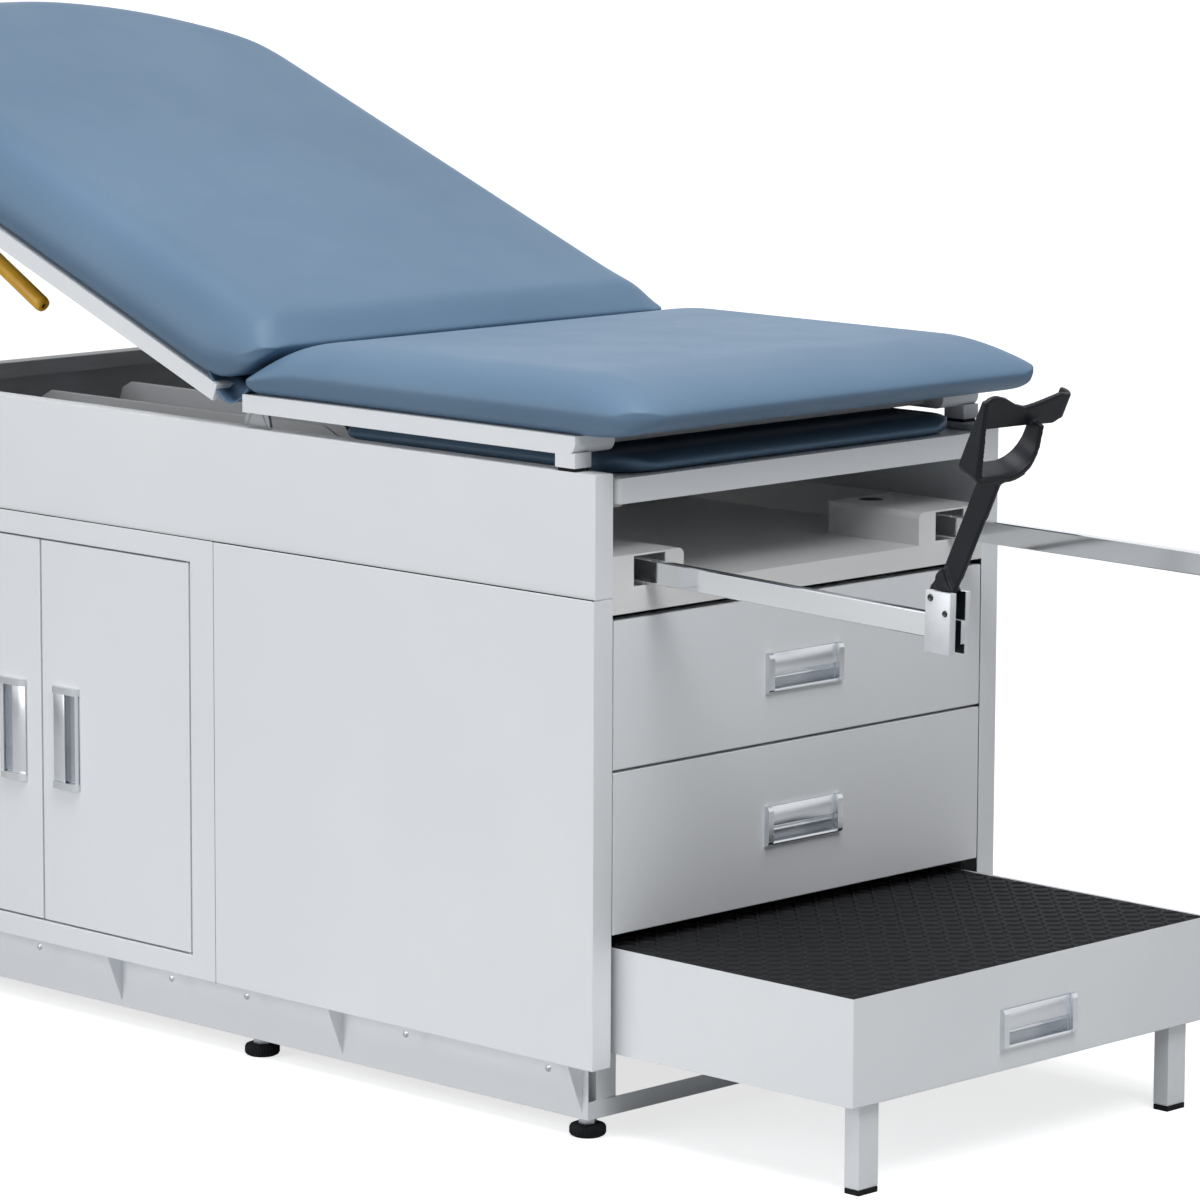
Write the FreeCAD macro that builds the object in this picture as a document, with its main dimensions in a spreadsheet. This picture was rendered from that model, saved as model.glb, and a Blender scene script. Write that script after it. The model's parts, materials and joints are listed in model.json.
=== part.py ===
"""Gynecological examination table: steel cabinet with cupboard, drawers, pull-out step, pull-out leg rest,
tilting seat, reclining backrest on a gas spring, and two sliding stirrups.

Frame: +X to the foot end, -Y to the door side, +Z up, millimetres. The origin is on the floor under the
middle of the whole table. The table stands as in use: backrest raised, step and stirrup bars pulled out.
"""
import FreeCAD, Part
import math
import os
import re
import Sketcher

Vector = FreeCAD.Vector
Rotation = FreeCAD.Rotation

doc = FreeCAD.newDocument("examination_table")
sheet_object = doc.addObject("Spreadsheet::Sheet", "dims")

# Driving dimensions in millimetres and degrees
DIMENSIONS = [
    ("foot_x", 439, "X of the cabinet's foot-end face"),
    ("half_width", 325, "half the cabinet's width"),
    ("cabinet_length", 1260, "cabinet, foot end to head end"),
    ("plain_length", 602, "plain side panel beside the drawers"),
    ("door_margin", 40, "frame between the plain panel and the doors"),
    ("door_width", 263, "one cupboard door, with half of its gap"),
    ("panel_bottom", 84, "lower edge of the side panels"),
    ("seam_height", 590, "joint between side panels and apron"),
    ("apron_top", 723, "upper rim of the apron"),
    ("apron_inset", 2, "apron stands back from the panels"),
    ("apron_fold", 19, "depth of the rim's inner fold"),
    ("wall", 28.5, "depth of a folded side panel"),
    ("sheet", 1.5, "sheet steel of the panels"),
    ("plate", 2, "heavier sheet of step, frames and tray"),
    ("door_low", 110, "bottom of the door opening"),
    ("door_high", 563, "top of the door opening"),
    ("door_depth", 20, "thickness of a door or drawer front"),
    ("gap", 1.5, "shadow gap round drawer fronts and between the doors"),
    ("door_gap", 3, "gap along a door's hinge edge"),
    ("pivot_in", 2.5, "door pivot from the door's edge and face"),
    ("drawer_split", 404, "height of the gap between the drawers"),
    ("drawer_low", 226, "bottom of the lower drawer front"),
    ("drawer_high", 567, "top of the upper drawer front"),
    ("drawer_depth", 450, "length of a drawer box"),
    ("rail_depth", 6, "one half of a drawer slide"),
    ("fold_depth", 20, "folded rim of inner sheets and the head end"),
    ("shelf_low", 330, "underside of the cupboard shelf"),
    ("shelf_depth", 18, "folded rim of the cupboard shelf"),
    ("door_handle_z", 333, "middle of the door handles"),
    ("upper_handle_z", 482, "middle of the upper drawer's handle"),
    ("lower_handle_z", 313, "middle of the lower drawer's handle"),
    ("step_handle_z", 143, "middle of the step's handle"),
    ("plinth_inset", 22.5, "plinth wall behind the panel plane"),
    ("plinth_front", 28.5, "front rail behind the foot-end face"),
    ("plinth_low", 22, "underside of the plinth"),
    ("plinth_flange", 30, "folded edges of the plinth"),
    ("front_rail_high", 42, "top of the low front rail"),
    ("gusset_pitch", 377, "distance between the plinth gussets"),
    ("foot_radius", 20, "levelling foot"),
    ("foot_height", 14, "levelling foot"),
    ("foot_end", 47, "end feet from the cabinet's ends"),
    ("foot_middle", 569, "middle feet from the foot-end face"),
    ("foot_inset", 41, "foot centre from the panel plane"),
    ("step_reach", 341, "step front beyond the cabinet when pulled out"),
    ("step_tail", 120, "step box that stays inside the cabinet"),
    ("step_half", 290, "half the step's width"),
    ("step_low", 98, "lower edge of the step box"),
    ("step_high", 213, "upper rim of the step box"),
    ("leg_depth", 20, "step leg along the table"),
    ("leg_width", 30, "step leg across the table"),
    ("leg_setback", 11, "step leg behind the step's front"),
    ("leg_edge", 267.4, "outer face of a step leg from the middle"),
    ("handle_half", 60, "half the length of a recessed handle"),
    ("handle_high", 45, "height of a recessed handle"),
    ("cap_width", 8, "end cap of a recessed handle"),
    ("handle_cup", 18, "depth of a handle's cup"),
    ("tray_depth", 520, "moulded stirrup compartment"),
    ("tray_low", 572, "lower edge of the compartment's front"),
    ("tray_floor", 597, "floor of the compartment"),
    ("housing_high", 634, "top of the two bar housings"),
    ("housing_depth", 136, "bar housing from the front"),
    ("housing_edge", 189, "inner face of a bar housing from the middle"),
    ("shell", 2, "wall of the moulded compartment"),
    ("rest_depth", 450, "leg rest tray"),
    ("rest_half", 291, "half the leg rest's width"),
    ("rest_low", 689, "lower edge of the leg rest's front"),
    ("rest_high", 716, "top of the leg rest tray"),
    ("rest_corner", 8, "rounded front corners of the leg rest tray"),
    ("rest_pad_half", 280, "half the width of the leg rest cushion"),
    ("rest_pad_high", 23, "height of the leg rest cushion at its crown"),
    ("rest_pad_corner", 60, "front corners of the leg rest cushion"),
    ("hinge_back", 580, "hinge axis behind the foot-end face"),
    ("hinge_z", 751, "height of the common hinge axis"),
    ("pin_radius", 6, "hinge pins"),
    ("pin_play", 0.05, "clearance of a pin in its bore"),
    ("rail_edge", 323, "outer face of seat and backrest rails from the middle"),
    ("rail_width", 60, "width of a rail"),
    ("rail_half", 10, "half the height of a rail"),
    ("seat_front", 31, "front of the seat rails behind the foot-end face"),
    ("hinge_clear", 27, "rail end from the hinge axis on the seat"),
    ("back_clear", 21, "rail end from the hinge axis on the backrest"),
    ("post_depth", 29, "seat post along the table"),
    ("post_width", 25, "seat post across the table"),
    ("pad_high", 4, "rubber pad under a seat post"),
    ("cross_bar", 40, "width of a cross bar under the padding"),
    ("seat_overhang", 66, "seat cushion beyond the foot-end face"),
    ("pad_half", 330, "half the width of seat and backrest cushions"),
    ("pad_draw", 3, "sides of a cushion drawn in between its corners"),
    ("pad_corner", 45, "plain corners of the cushions"),
    ("head_corner", 100, "corners beside the head end"),
    ("head_arc", 400, "radius of the head end's wide arc"),
    ("seat_pad_back", 27, "seat cushion's end from the hinge axis"),
    ("seat_pad_high", 66, "height of the seat cushion at its crown"),
    ("back_pad_start", 8, "backrest cushion's end from the hinge axis"),
    ("back_pad_high", 83, "height of the backrest cushion at its crown"),
    ("back_length", 905, "backrest cushion's head end from the hinge axis"),
    ("back_rail_length", 712, "backrest rail's head end from the hinge axis"),
    ("rest_tilt", 21.5, "backrest angle in the stored pose"),
    ("gas_back", 660, "gas spring anchor behind the foot-end face"),
    ("gas_z", 624, "height of the gas spring anchor"),
    ("gas_arm", 280, "gas spring pivot on the backrest from the hinge"),
    ("gas_drop", 20, "gas spring pivot below the hinge plane"),
    ("gas_radius", 14, "gas spring cylinder"),
    ("gas_body", 198, "gas spring cylinder's end from its anchor"),
    ("gas_rod", 192, "length of the gas spring rod"),
    ("rod_radius", 5, "gas spring rod and lever rod"),
    ("channel_back", 1216, "head end of the mechanism channel"),
    ("channel_front", 632, "foot end of the mechanism channel"),
    ("channel_half", 66, "half the width of the mechanism channel"),
    ("channel_high", 690, "top of the mechanism channel"),
    ("channel_wall", 4, "plate of channel and hinge brackets"),
    ("lever_edge", 280, "release lever from the middle"),
    ("lever_arm", 640, "lever pivot from the hinge axis"),
    ("lever_drop", 28, "lever pivot below the hinge plane"),
    ("lever_angle", 7.5, "lever slopes away from the frame"),
    ("lever_length", 274, "lever from pivot to tip"),
    ("grip_length", 145, "plastic grip on the lever"),
    ("grip_radius", 9.5, "plastic grip on the lever"),
    ("swivel_back", 115, "bar swivel behind the foot-end face"),
    ("swivel_edge", 237, "bar swivel from the middle"),
    ("swivel_z", 616.5, "height of the bar at its swivel"),
    ("bar_width", 12, "stirrup bar across"),
    ("bar_high", 25, "stirrup bar upright"),
    ("bar_tail", 45, "bar behind its swivel when pulled out"),
    ("bar_reach", 562, "bracket's outer end from the swivel"),
    ("bar_splay", 2.4, "bars spread outwards"),
    ("bar_droop", 1.1, "bars hang a little"),
    ("bar_play", 0.4, "clearance of a bar in its guide"),
    ("bracket_depth", 34.5, "stirrup bracket along the bar"),
    ("bracket_width", 22, "stirrup bracket across"),
    ("bracket_low", 26, "bracket below the bar's centre line"),
    ("bracket_high", 37, "bracket above the bar's centre line"),
    ("bracket_grip", 14, "length of bar held in its bracket"),
    ("fold_in", 28, "fold pin from the bracket's outer end"),
    ("fold_high", 30, "fold pin above the bar's centre line"),
    ("fold_pin", 4, "radius of the fold pin"),
    ("blade", 6, "thickness of the stirrup's arm and straps"),
    ("stirrup_lean", 25.5, "stirrup leans away from the table"),
    ("arm_back", -2, "back edge of the stirrup's arm from the fold pin"),
    ("arm_front", 22, "front edge of the stirrup's arm from the fold pin"),
    ("shoulder_width", 20, "shoulder of the arm above its bracket"),
    ("loop_low", 150, "underside of the loop from the fold pin"),
    ("loop_out", 39, "loop's outer wall from the arm"),
    ("loop_in", 45.5, "loop's inner wall from the arm"),
    ("loop_bend", 38, "bend at the loop's inner lower corner"),
    ("loop_back", -4, "back edge of the loop"),
    ("loop_front", 23.6, "front edge of the loop"),
    ("sole_low", 204, "lower edge of the sole plate from the fold pin"),
    ("sole_front", 11, "lower edge of the sole plate, forwards"),
    ("sole_high", 33, "height of the sole plate at its outer end"),
    ("sole_in", 83, "sole plate's curled end from the arm"),
    ("sole_dip", 60, "radius of the dip in the sole plate"),
    ("sole_turn", 26.6, "sole plate stands upright on the leaning arm"),
    ("curl", 9, "radius of the sole plate's curled end"),
]
VALUE = {}
for row, (alias, value, note) in enumerate(DIMENSIONS, 1):
    sheet_object.set(f"A{row}", note)
    sheet_object.set(f"B{row}", str(value))
    sheet_object.setAlias(f"B{row}", alias)
    VALUE[alias] = value
doc.recompute()

SUB_PARTS = []
counter = {"made": 0}


# Small helpers that bind sizes to the sheet
def formula(text):
    """Turn plain alias names into references to the sheet."""
    return re.sub(r"[a-z_]+", lambda m: "dims." + m.group() if m.group() in VALUE else m.group(), str(text))


def bind(target, prop, text):
    target.setExpression(prop, formula(text))


def number(text):
    """Value of a formula, for shapes and first guesses."""
    probe = doc.getObject("probe") or doc.addObject("App::FeaturePython", "probe")
    if "result" not in probe.PropertiesList:
        probe.addProperty("App::PropertyFloat", "result")
    bind(probe, "result", text)
    probe.recompute()
    return probe.result


def new(kind):
    counter["made"] += 1
    return doc.addObject(kind, f"piece_{counter['made']}")


def place(target, x="0", y="0", z="0"):
    for letter, text in zip("xyz", (x, y, z)):
        bind(target, f"Placement.Base.{letter}", text)
    return target


def sub_part(label, target):
    """Give a finished object its name in the assembly."""
    target.Label = label
    SUB_PARTS.append(target)
    return target


def box(x, y, z):
    solid = new("Part::Box")
    for prop, (low, high) in zip(("Length", "Width", "Height"), (x, y, z)):
        bind(solid, prop, f"({high})-({low})")
    return place(solid, x[0], y[0], z[0])


def rod(axis, radius, span, centre):
    """Cylinder along one axis, from span[0] to span[1], round a centre on the other two axes."""
    solid = new("Part::Cylinder")
    bind(solid, "Radius", radius)
    bind(solid, "Height", f"({span[1]})-({span[0]})")
    turn = {"x": Rotation(Vector(0, 1, 0), 90), "y": Rotation(Vector(1, 0, 0), -90), "z": Rotation()}[axis]
    solid.Placement = FreeCAD.Placement(Vector(), turn)
    spots = list(centre)
    spots.insert("xyz".index(axis), span[0])
    return place(solid, *spots)


def fuse(*solids):
    if len(solids) == 1:
        return solids[0]
    joined = new("Part::MultiFuse")
    joined.Shapes = list(solids)
    joined.Refine = True
    return joined


def cut(base, *tools):
    result = new("Part::Cut")
    result.Base = base
    result.Tool = fuse(*tools)
    return result


def overlap(first, second):
    result = new("Part::Common")
    result.Base = first
    result.Tool = second
    return result


def group(*solids):
    gathered = new("Part::Compound")
    gathered.Links = list(solids)
    return gathered


def mirror(source):
    """The same piece on the other side of the table."""
    copy = new("Part::Mirroring")
    copy.Source = source
    copy.Normal = Vector(0, 1, 0)
    return copy


def both(source):
    return [source, mirror(source)]


def grow(span, low, high):
    return (f"({span[0]})-({low})", f"({span[1]})+({high})")


def pan(x, y, z, open_side, skin="sheet"):
    """Folded sheet-metal tray: a box hollowed from one side."""
    spans = {"x": x, "y": y, "z": z}
    hollow = {}
    for letter, span in spans.items():
        low = f"-({skin})"
        high = f"-({skin})"
        if open_side == "-" + letter:
            low = "1"
        if open_side == "+" + letter:
            high = "1"
        hollow[letter] = grow(span, low, high)
    return cut(box(x, y, z), box(hollow["x"], hollow["y"], hollow["z"]))


def profile_body(plane, points, length, reversed_pad=False):
    """Body padded from a closed outline whose corners are bound to the sheet."""
    body = new("PartDesign::Body")
    sketch = outline(body, plane, points)
    pad = body.newObject("PartDesign::Pad", body.Name + "_pad")
    pad.Profile = sketch
    pad.Reversed = reversed_pad
    bind(pad, "Length", length)
    return body


def outline(body, plane, points, offset=None):
    planes = {feature.Role: feature for feature in body.Origin.OriginFeatures}
    sketch = body.newObject("Sketcher::SketchObject", body.Name + "_sketch")
    sketch.AttachmentSupport = [(planes[plane + "_Plane"], "")]
    sketch.MapMode = "FlatFace"
    if offset is not None:
        bind(sketch, "AttachmentOffset.Base.z", offset)
    corners = [Vector(number(a), number(b), 0) for a, b in points]
    count = len(points)
    for i in range(count):
        sketch.addGeometry(Part.LineSegment(corners[i], corners[(i + 1) % count]), False)
    for i in range(count):
        sketch.addConstraint(Sketcher.Constraint("Coincident", i, 2, (i + 1) % count, 1))
    for i, (across, along) in enumerate(points):
        for kind, text, start in (("DistanceX", across, corners[i].x), ("DistanceY", along, corners[i].y)):
            index = sketch.addConstraint(Sketcher.Constraint(kind, -1, 1, i, 1, start))
            bind(sketch, f"Constraints[{index}]", text)
    return sketch


def hexagon(plane, radius, length):
    """Six-sided nut or bolt head, by its corner radius."""
    corners = [(f"({radius})*cos({60 * i})", f"({radius})*sin({60 * i})") for i in range(6)]
    return profile_body(plane, corners, length)


def rounded_block(x, y, z, axis, radius, chooses=lambda middle: True):
    """Box with rounded edges along one axis; chooses picks edges by their middle from the box's corner."""
    spans = {"x": x, "y": y, "z": z}
    plane = {"x": "YZ", "y": "XZ", "z": "XY"}[axis]
    across, along = [f"({spans[letter.lower()][1]})-({spans[letter.lower()][0]})" for letter in plane]
    length = f"({spans[axis][1]})-({spans[axis][0]})"
    body = profile_body(plane, [("0", "0"), (across, "0"), (across, along), ("0", along)], length,
                        reversed_pad=(axis == "y"))
    doc.recompute()
    pad = body.Tip
    edges = []
    for i, edge in enumerate(pad.Shape.Edges, 1):
        start, end = [vertex.Point for vertex in edge.Vertexes]
        if abs(getattr(end - start, axis)) > 0.5 * number(length) and chooses((start + end) * 0.5):
            edges.append(f"Edge{i}")
    round_off = body.newObject("PartDesign::Fillet", body.Name + "_round")
    round_off.Base = (pad, edges)
    bind(round_off, "Radius", radius)
    body.Tip = round_off
    return place(body, x[0], y[0], z[0])


def pad_outline(low_x, high_x, half, height, low_radius, high_radius, draw, end_radius):
    """Plan of a cushion at one height: sides drawn in between corner arcs; the low end may be a wide arc."""
    low_centre = low_x + low_radius
    low_sweep = 90
    if end_radius:
        reach = end_radius - low_radius
        rise = half - low_radius
        low_centre = low_x + end_radius - math.sqrt(reach ** 2 - rise ** 2)
        low_sweep = math.degrees(math.acos(rise / reach))
    corners = [(low_centre, -half + low_radius, low_radius, 270 - low_sweep, low_sweep),
               (high_x - high_radius, -half + high_radius, high_radius, 270, 90),
               (high_x - high_radius, half - high_radius, high_radius, 0, 90),
               (low_centre, half - low_radius, low_radius, 90, low_sweep)]
    arcs = []
    for x, y, radius, start, sweep in corners:
        turns = [math.radians(start + sweep * share) for share in (0, 0.5, 1)]
        arcs.append([Vector(x + radius * math.cos(turn), y + radius * math.sin(turn), height)
                     for turn in turns])
    middle = Vector((low_x + high_x) / 2, 0, height)
    edges = []
    for i, arc in enumerate(arcs):
        edges.append(Part.Arc(*arc).toShape())
        start = arc[2]
        end = arcs[(i + 1) % 4][0]
        halfway = (start + end) * 0.5
        inward = middle - halfway
        inward.normalize()
        bends = [(start, halfway + inward * draw, end)]
        if end_radius and i == 3:
            tip = Vector(low_x, 0, height)
            centre = Vector(low_x + end_radius, 0, height)
            bends = [(start, centre + (start + tip - centre * 2).normalize() * end_radius, tip),
                     (tip, centre + (tip + end - centre * 2).normalize() * end_radius, end)]
        edges += [Part.Arc(*bend).toShape() for bend in bends]
    return Part.Wire(edges)


def cushion(label, low_x, high_x, half, layers, low_corner, high_corner, end_radius=0):
    """Closed pad lofted through its plans; a layer is height, side inset, low-end inset, high-end inset."""
    plans = []
    for height, side, low, high in layers:
        end_arc = end_radius - low if end_radius else 0
        plans.append(pad_outline(low_x + low, high_x - high, half - side, height, low_corner, high_corner,
                                 VALUE["pad_draw"], end_arc))
    pad = new("Part::Feature")
    pad.Shape = Part.makeLoft(plans, True, True)
    return sub_part(label, pad)


# Places that several sub-parts share
HEAD_X = "(foot_x-cabinet_length)"
DOOR_FRAME_X = "(foot_x-plain_length)"
DOOR_FOOT_X = "(foot_x-plain_length-door_margin)"
DOOR_MEET_X = "(foot_x-plain_length-door_margin-door_width)"
DOOR_HEAD_X = "(foot_x-plain_length-door_margin-2*door_width)"
NEAR = "(-half_width)"
INSIDE = "(half_width-wall)"
BULKHEAD_X = "(foot_x-plain_length-fold_depth)"
HINGE_X = "(foot_x-hinge_back)"


# Cross bars under the padding, from the hinge axis
SEAT_BARS = (70, 270, 480)
BACK_BARS = (90, 260, 500, 670)


# Cabinet panels
def side_panels():
    near_y = (NEAR, f"{NEAR}+wall")
    panel_z = ("panel_bottom", "seam_height")
    sub_part("near_side_panel", pan((DOOR_FRAME_X, "foot_x"), near_y, panel_z, "+y"))
    sub_part("far_side_panel", pan((HEAD_X, "foot_x"), (INSIDE, "half_width"), panel_z, "-y"))
    frame_x = (HEAD_X, DOOR_FRAME_X)
    opening_x = (DOOR_HEAD_X, DOOR_FOOT_X)
    opening_z = ("door_low", "door_high")
    outside = grow(near_y, "1", "1")
    inner_x = grow(frame_x, "-sheet", "-sheet")
    inner_z = grow(panel_z, "-sheet", "-sheet")
    relief = cut(box(inner_x, grow(near_y, "-sheet", "1"), inner_z),
                 box(grow(opening_x, "sheet", "sheet"), outside, grow(opening_z, "sheet", "sheet")))
    frame = cut(box(frame_x, near_y, panel_z), box(opening_x, outside, opening_z), relief)
    sub_part("near_door_frame", frame)
    sub_part("head_end_panel", pan((HEAD_X, f"{HEAD_X}+fold_depth"), (f"-{INSIDE}", INSIDE), panel_z, "+x"))


def inner_sheets():
    across = (f"-{INSIDE}", INSIDE)
    cupboard_x = (f"{HEAD_X}+fold_depth", BULKHEAD_X)
    sub_part("bulkhead", pan((BULKHEAD_X, DOOR_FRAME_X), across, ("panel_bottom", "seam_height"), "-x"))
    sub_part("cupboard_floor", pan(cupboard_x, across, ("panel_bottom", "panel_bottom+fold_depth"), "-z"))
    shelf_z = ("shelf_low", "shelf_low+shelf_depth")
    sub_part("cupboard_shelf", pan(cupboard_x, (f"8-{INSIDE}", INSIDE), shelf_z, "-z"))
    sub_part("well_floor", pan(cupboard_x, across, ("seam_height-fold_depth", "seam_height"), "-z"))
    lining = box((f"{DOOR_FRAME_X}", "foot_x-door_depth-2"), (f"-{INSIDE}", f"sheet-{INSIDE}"),
                 ("panel_bottom+8", "seam_height-fold_depth"))
    sub_part("drawer_bay_linings", group(*both(lining)))


def apron():
    """Upper rim on three sides, folded from sheet, with a short inner fold."""
    height = ("seam_height", "apron_top")
    tall = grow(height, "1", "1")
    outside = box((f"{HEAD_X}+apron_inset", "foot_x"), ("apron_inset-half_width", "half_width-apron_inset"),
                  height)
    middle = box((f"{HEAD_X}+wall", "foot_x+1"), (f"-{INSIDE}", INSIDE), tall)
    hollow = cut(
        box((f"{HEAD_X}+apron_inset+sheet", "foot_x-sheet"),
            ("apron_inset+sheet-half_width", "half_width-apron_inset-sheet"), grow(height, "1", "-sheet")),
        box((f"{HEAD_X}+wall-sheet", "foot_x+1"), (f"-{INSIDE}-sheet", f"{INSIDE}+sheet"), tall))
    below_fold = box((f"{HEAD_X}+wall-sheet", "foot_x-sheet"), (f"-{INSIDE}-sheet", f"{INSIDE}+sheet"),
                     ("seam_height-1", "apron_top-apron_fold"))
    sub_part("upper_apron", cut(outside, middle, hollow, below_fold))


# Plinth, gussets and levelling feet
def plinth():
    wall_y = "(plinth_inset-half_width)"
    edge_y = f"{wall_y}+plinth_flange"
    length = "cabinet_length-2*plinth_front"
    channel = [(wall_y, "plinth_low"), (edge_y, "plinth_low"), (edge_y, "plinth_low+plate"),
               (f"{wall_y}+plate", "plinth_low+plate"), (f"{wall_y}+plate", "panel_bottom-plate"),
               (edge_y, "panel_bottom-plate"), (edge_y, "panel_bottom"), (wall_y, "panel_bottom")]
    body = profile_body("YZ", channel, length, reversed_pad=True)
    gusset = body.newObject("PartDesign::Pad", body.Name + "_gusset")
    gusset.Profile = outline(body, "YZ", [(f"{wall_y}+1", "plinth_low+4"), (f"{wall_y}+1", "panel_bottom"),
                                          ("1-half_width", "panel_bottom")], offset="-9")
    gusset.Reversed = True
    bind(gusset, "Length", "3")
    row = body.newObject("PartDesign::LinearPattern", body.Name + "_row")
    row.Originals = [gusset]
    axes = {feature.Role: feature for feature in body.Origin.OriginFeatures}
    row.Direction = (axes["X_Axis"], [""])
    row.Reversed = True
    bind(row, "Length", "3*gusset_pitch")
    row.Occurrences = 4
    body.Tip = row
    place(body, "foot_x-plinth_front")
    front_x = "(foot_x-plinth_front)"
    rail_y = (f"{wall_y}+plate", f"-({wall_y}+plate)")
    front_rail = box((f"{front_x}-plate", front_x), rail_y, ("plinth_low", "front_rail_high"))
    front_foot = box((f"{front_x}-25", front_x), rail_y, ("plinth_low", "plinth_low+plate"))
    head_x = f"{HEAD_X}+plinth_front"
    head_rail = box((head_x, f"{head_x}+plate"), rail_y, ("plinth_low", "panel_bottom"))
    upright = box((f"{front_x}-22", f"{front_x}-plate"), (f"{wall_y}+15", f"{wall_y}+45"),
                  ("plinth_low", "step_low-4"))
    sub_part("plinth_frame", fuse(*both(body), front_rail, front_foot, head_rail, *both(upright)))


def levelling_feet():
    discs = []
    nuts = []
    for back in ("foot_end", "foot_middle", "cabinet_length-foot_end"):
        spot = (f"foot_x-({back})", "foot_inset-half_width")
        discs += both(rod("z", "foot_radius", ("0", "foot_height"), spot))
        nuts += both(place(hexagon("XY", 10, "plinth_low-foot_height"), *spot, "foot_height"))
    sub_part("levelling_foot_discs", group(*discs))
    sub_part("levelling_foot_nuts", group(*nuts))


# Recessed handles
def handle_pieces():
    """Cup, overhanging finger plate, rolled lip and two end caps, facing +X round the origin."""
    inner_half = "(handle_half-cap_width)"
    half_high = "(handle_high/2)"
    cup_z = (f"2.5-{half_high}", f"{half_high}-2.5")
    cup = cut(box(("-handle_cup", "0.8"), (f"-{inner_half}", inner_half), cup_z),
              box(("sheet-handle_cup", "2"), (f"sheet-{inner_half}", f"{inner_half}-sheet"),
                  (f"4-{half_high}", f"{half_high}-4")))
    plate = box(("0.8", "3"), (f"-{inner_half}", inner_half), ("1", f"{half_high}-1"))
    lip = rod("y", "2.5", (f"-{inner_half}", inner_half), ("2.5", f"3-{half_high}"))
    caps = []
    for side in (-1, 1):
        cap = profile_body("XZ", [("0", f"-{half_high}"), ("4", f"-{half_high}"), ("7", f"6-{half_high}"),
                                  ("7", f"{half_high}-6"), ("4", half_high), ("0", half_high)], "cap_width")
        place(cap, "0", "handle_half" if side > 0 else "cap_width-handle_half")
        caps.append(cap)
    return [fuse(cup, plate, lip)] + caps


def turned(pieces, x, y, z, turn):
    """Put a handle in its place; turn is the rotation of its face."""
    handle = group(*pieces)
    handle.Placement = FreeCAD.Placement(Vector(), turn)
    return place(handle, x, y, z)


FACING_FOOT = Rotation()
FACING_NEAR = Rotation(Vector(0, 0, 1), -90) * Rotation(Vector(1, 0, 0), 90)
FACING_NEAR_OTHER = Rotation(Vector(0, 0, 1), -90) * Rotation(Vector(1, 0, 0), -90)


# Cupboard doors
def doors():
    door_y = (f"{NEAR}+0.5", f"{NEAR}+0.5+door_depth")
    door_z = ("door_low+2", "door_high-2")
    pivots = []
    for name, x, handle_x, pivot_x, turn in (
            ("foot", (f"{DOOR_MEET_X}+gap", f"{DOOR_FOOT_X}-door_gap"), f"{DOOR_MEET_X}+46",
             f"{DOOR_FOOT_X}-door_gap-pivot_in", FACING_NEAR),
            ("head", (f"{DOOR_HEAD_X}+door_gap", f"{DOOR_MEET_X}-gap"), f"{DOOR_MEET_X}-49",
             f"{DOOR_HEAD_X}+door_gap+pivot_in", FACING_NEAR_OTHER)):
        window = box((f"{handle_x}-handle_high/2+2", f"{handle_x}+handle_high/2-2"), grow(door_y, "1", "-15"),
                     ("door_handle_z-handle_half+7.5", "door_handle_z+handle_half-7.5"))
        sub_part(f"{name}_door", cut(pan(x, door_y, door_z, "+y"), window))
        handle = turned(handle_pieces(), handle_x, f"{NEAR}+0.5", "door_handle_z", turn)
        sub_part(f"{name}_door_handle", handle)
        for span in (("door_low", "door_low+2"), ("door_high-2", "door_high")):
            pivots.append(rod("z", "2", span, (pivot_x, f"{NEAR}+0.5+pivot_in")))
    sub_part("door_pivots", group(*pivots))


# Drawers
def drawer(name, low, high, handle_z):
    front_x = ("foot_x-door_depth", "foot_x")
    front = pan(front_x, (f"gap-{INSIDE}", f"{INSIDE}-gap"), (f"{low}+gap", f"{high}-gap"), "-x")
    window = box(grow(front_x, "-15", "1"), ("7.5-handle_half", "handle_half-7.5"),
                 (f"{handle_z}-handle_high/2+2", f"{handle_z}+handle_high/2-2"))
    sub_part(f"{name}_front", cut(front, window))
    box_x = ("foot_x-door_depth-drawer_depth", "foot_x-door_depth")
    side = f"({INSIDE}-sheet-2*rail_depth-0.3)"
    sub_part(f"{name}_box", pan(box_x, (f"-{side}", side), (f"{low}+22", f"{high}-40"), "+z"))
    rail_z = (f"{low}+45", f"{low}+85")
    runner = box(grow(box_x, "0", "-2"), (f"-{side}-rail_depth", f"-{side}"), rail_z)
    sub_part(f"{name}_runners", group(*both(runner)))
    sub_part(f"{name}_handle", turned(handle_pieces(), "foot_x", "0", handle_z, FACING_FOOT))
    edge = f"({INSIDE}-sheet)"
    return box(grow(box_x, "0", "-2"), (f"-{edge}", f"rail_depth-{edge}"), rail_z)


def drawers_and_rails():
    upper = drawer("upper_drawer", "drawer_split", "drawer_high", "upper_handle_z")
    lower = drawer("lower_drawer", "drawer_low", "drawer_split", "lower_handle_z")
    edge = f"({INSIDE}-sheet)"
    step_rail = fuse(
        box((f"{DOOR_FRAME_X}", "foot_x-door_depth-2"), (f"-{edge}", f"sheet-{edge}"), ("136", "160")),
        box((f"{DOOR_FRAME_X}", "foot_x-door_depth-2"), (f"-{edge}", f"4.5-{edge}"), ("136", "137.5")))
    sub_part("fixed_slide_rails", group(*both(upper), *both(lower), *both(step_rail)))


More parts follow.
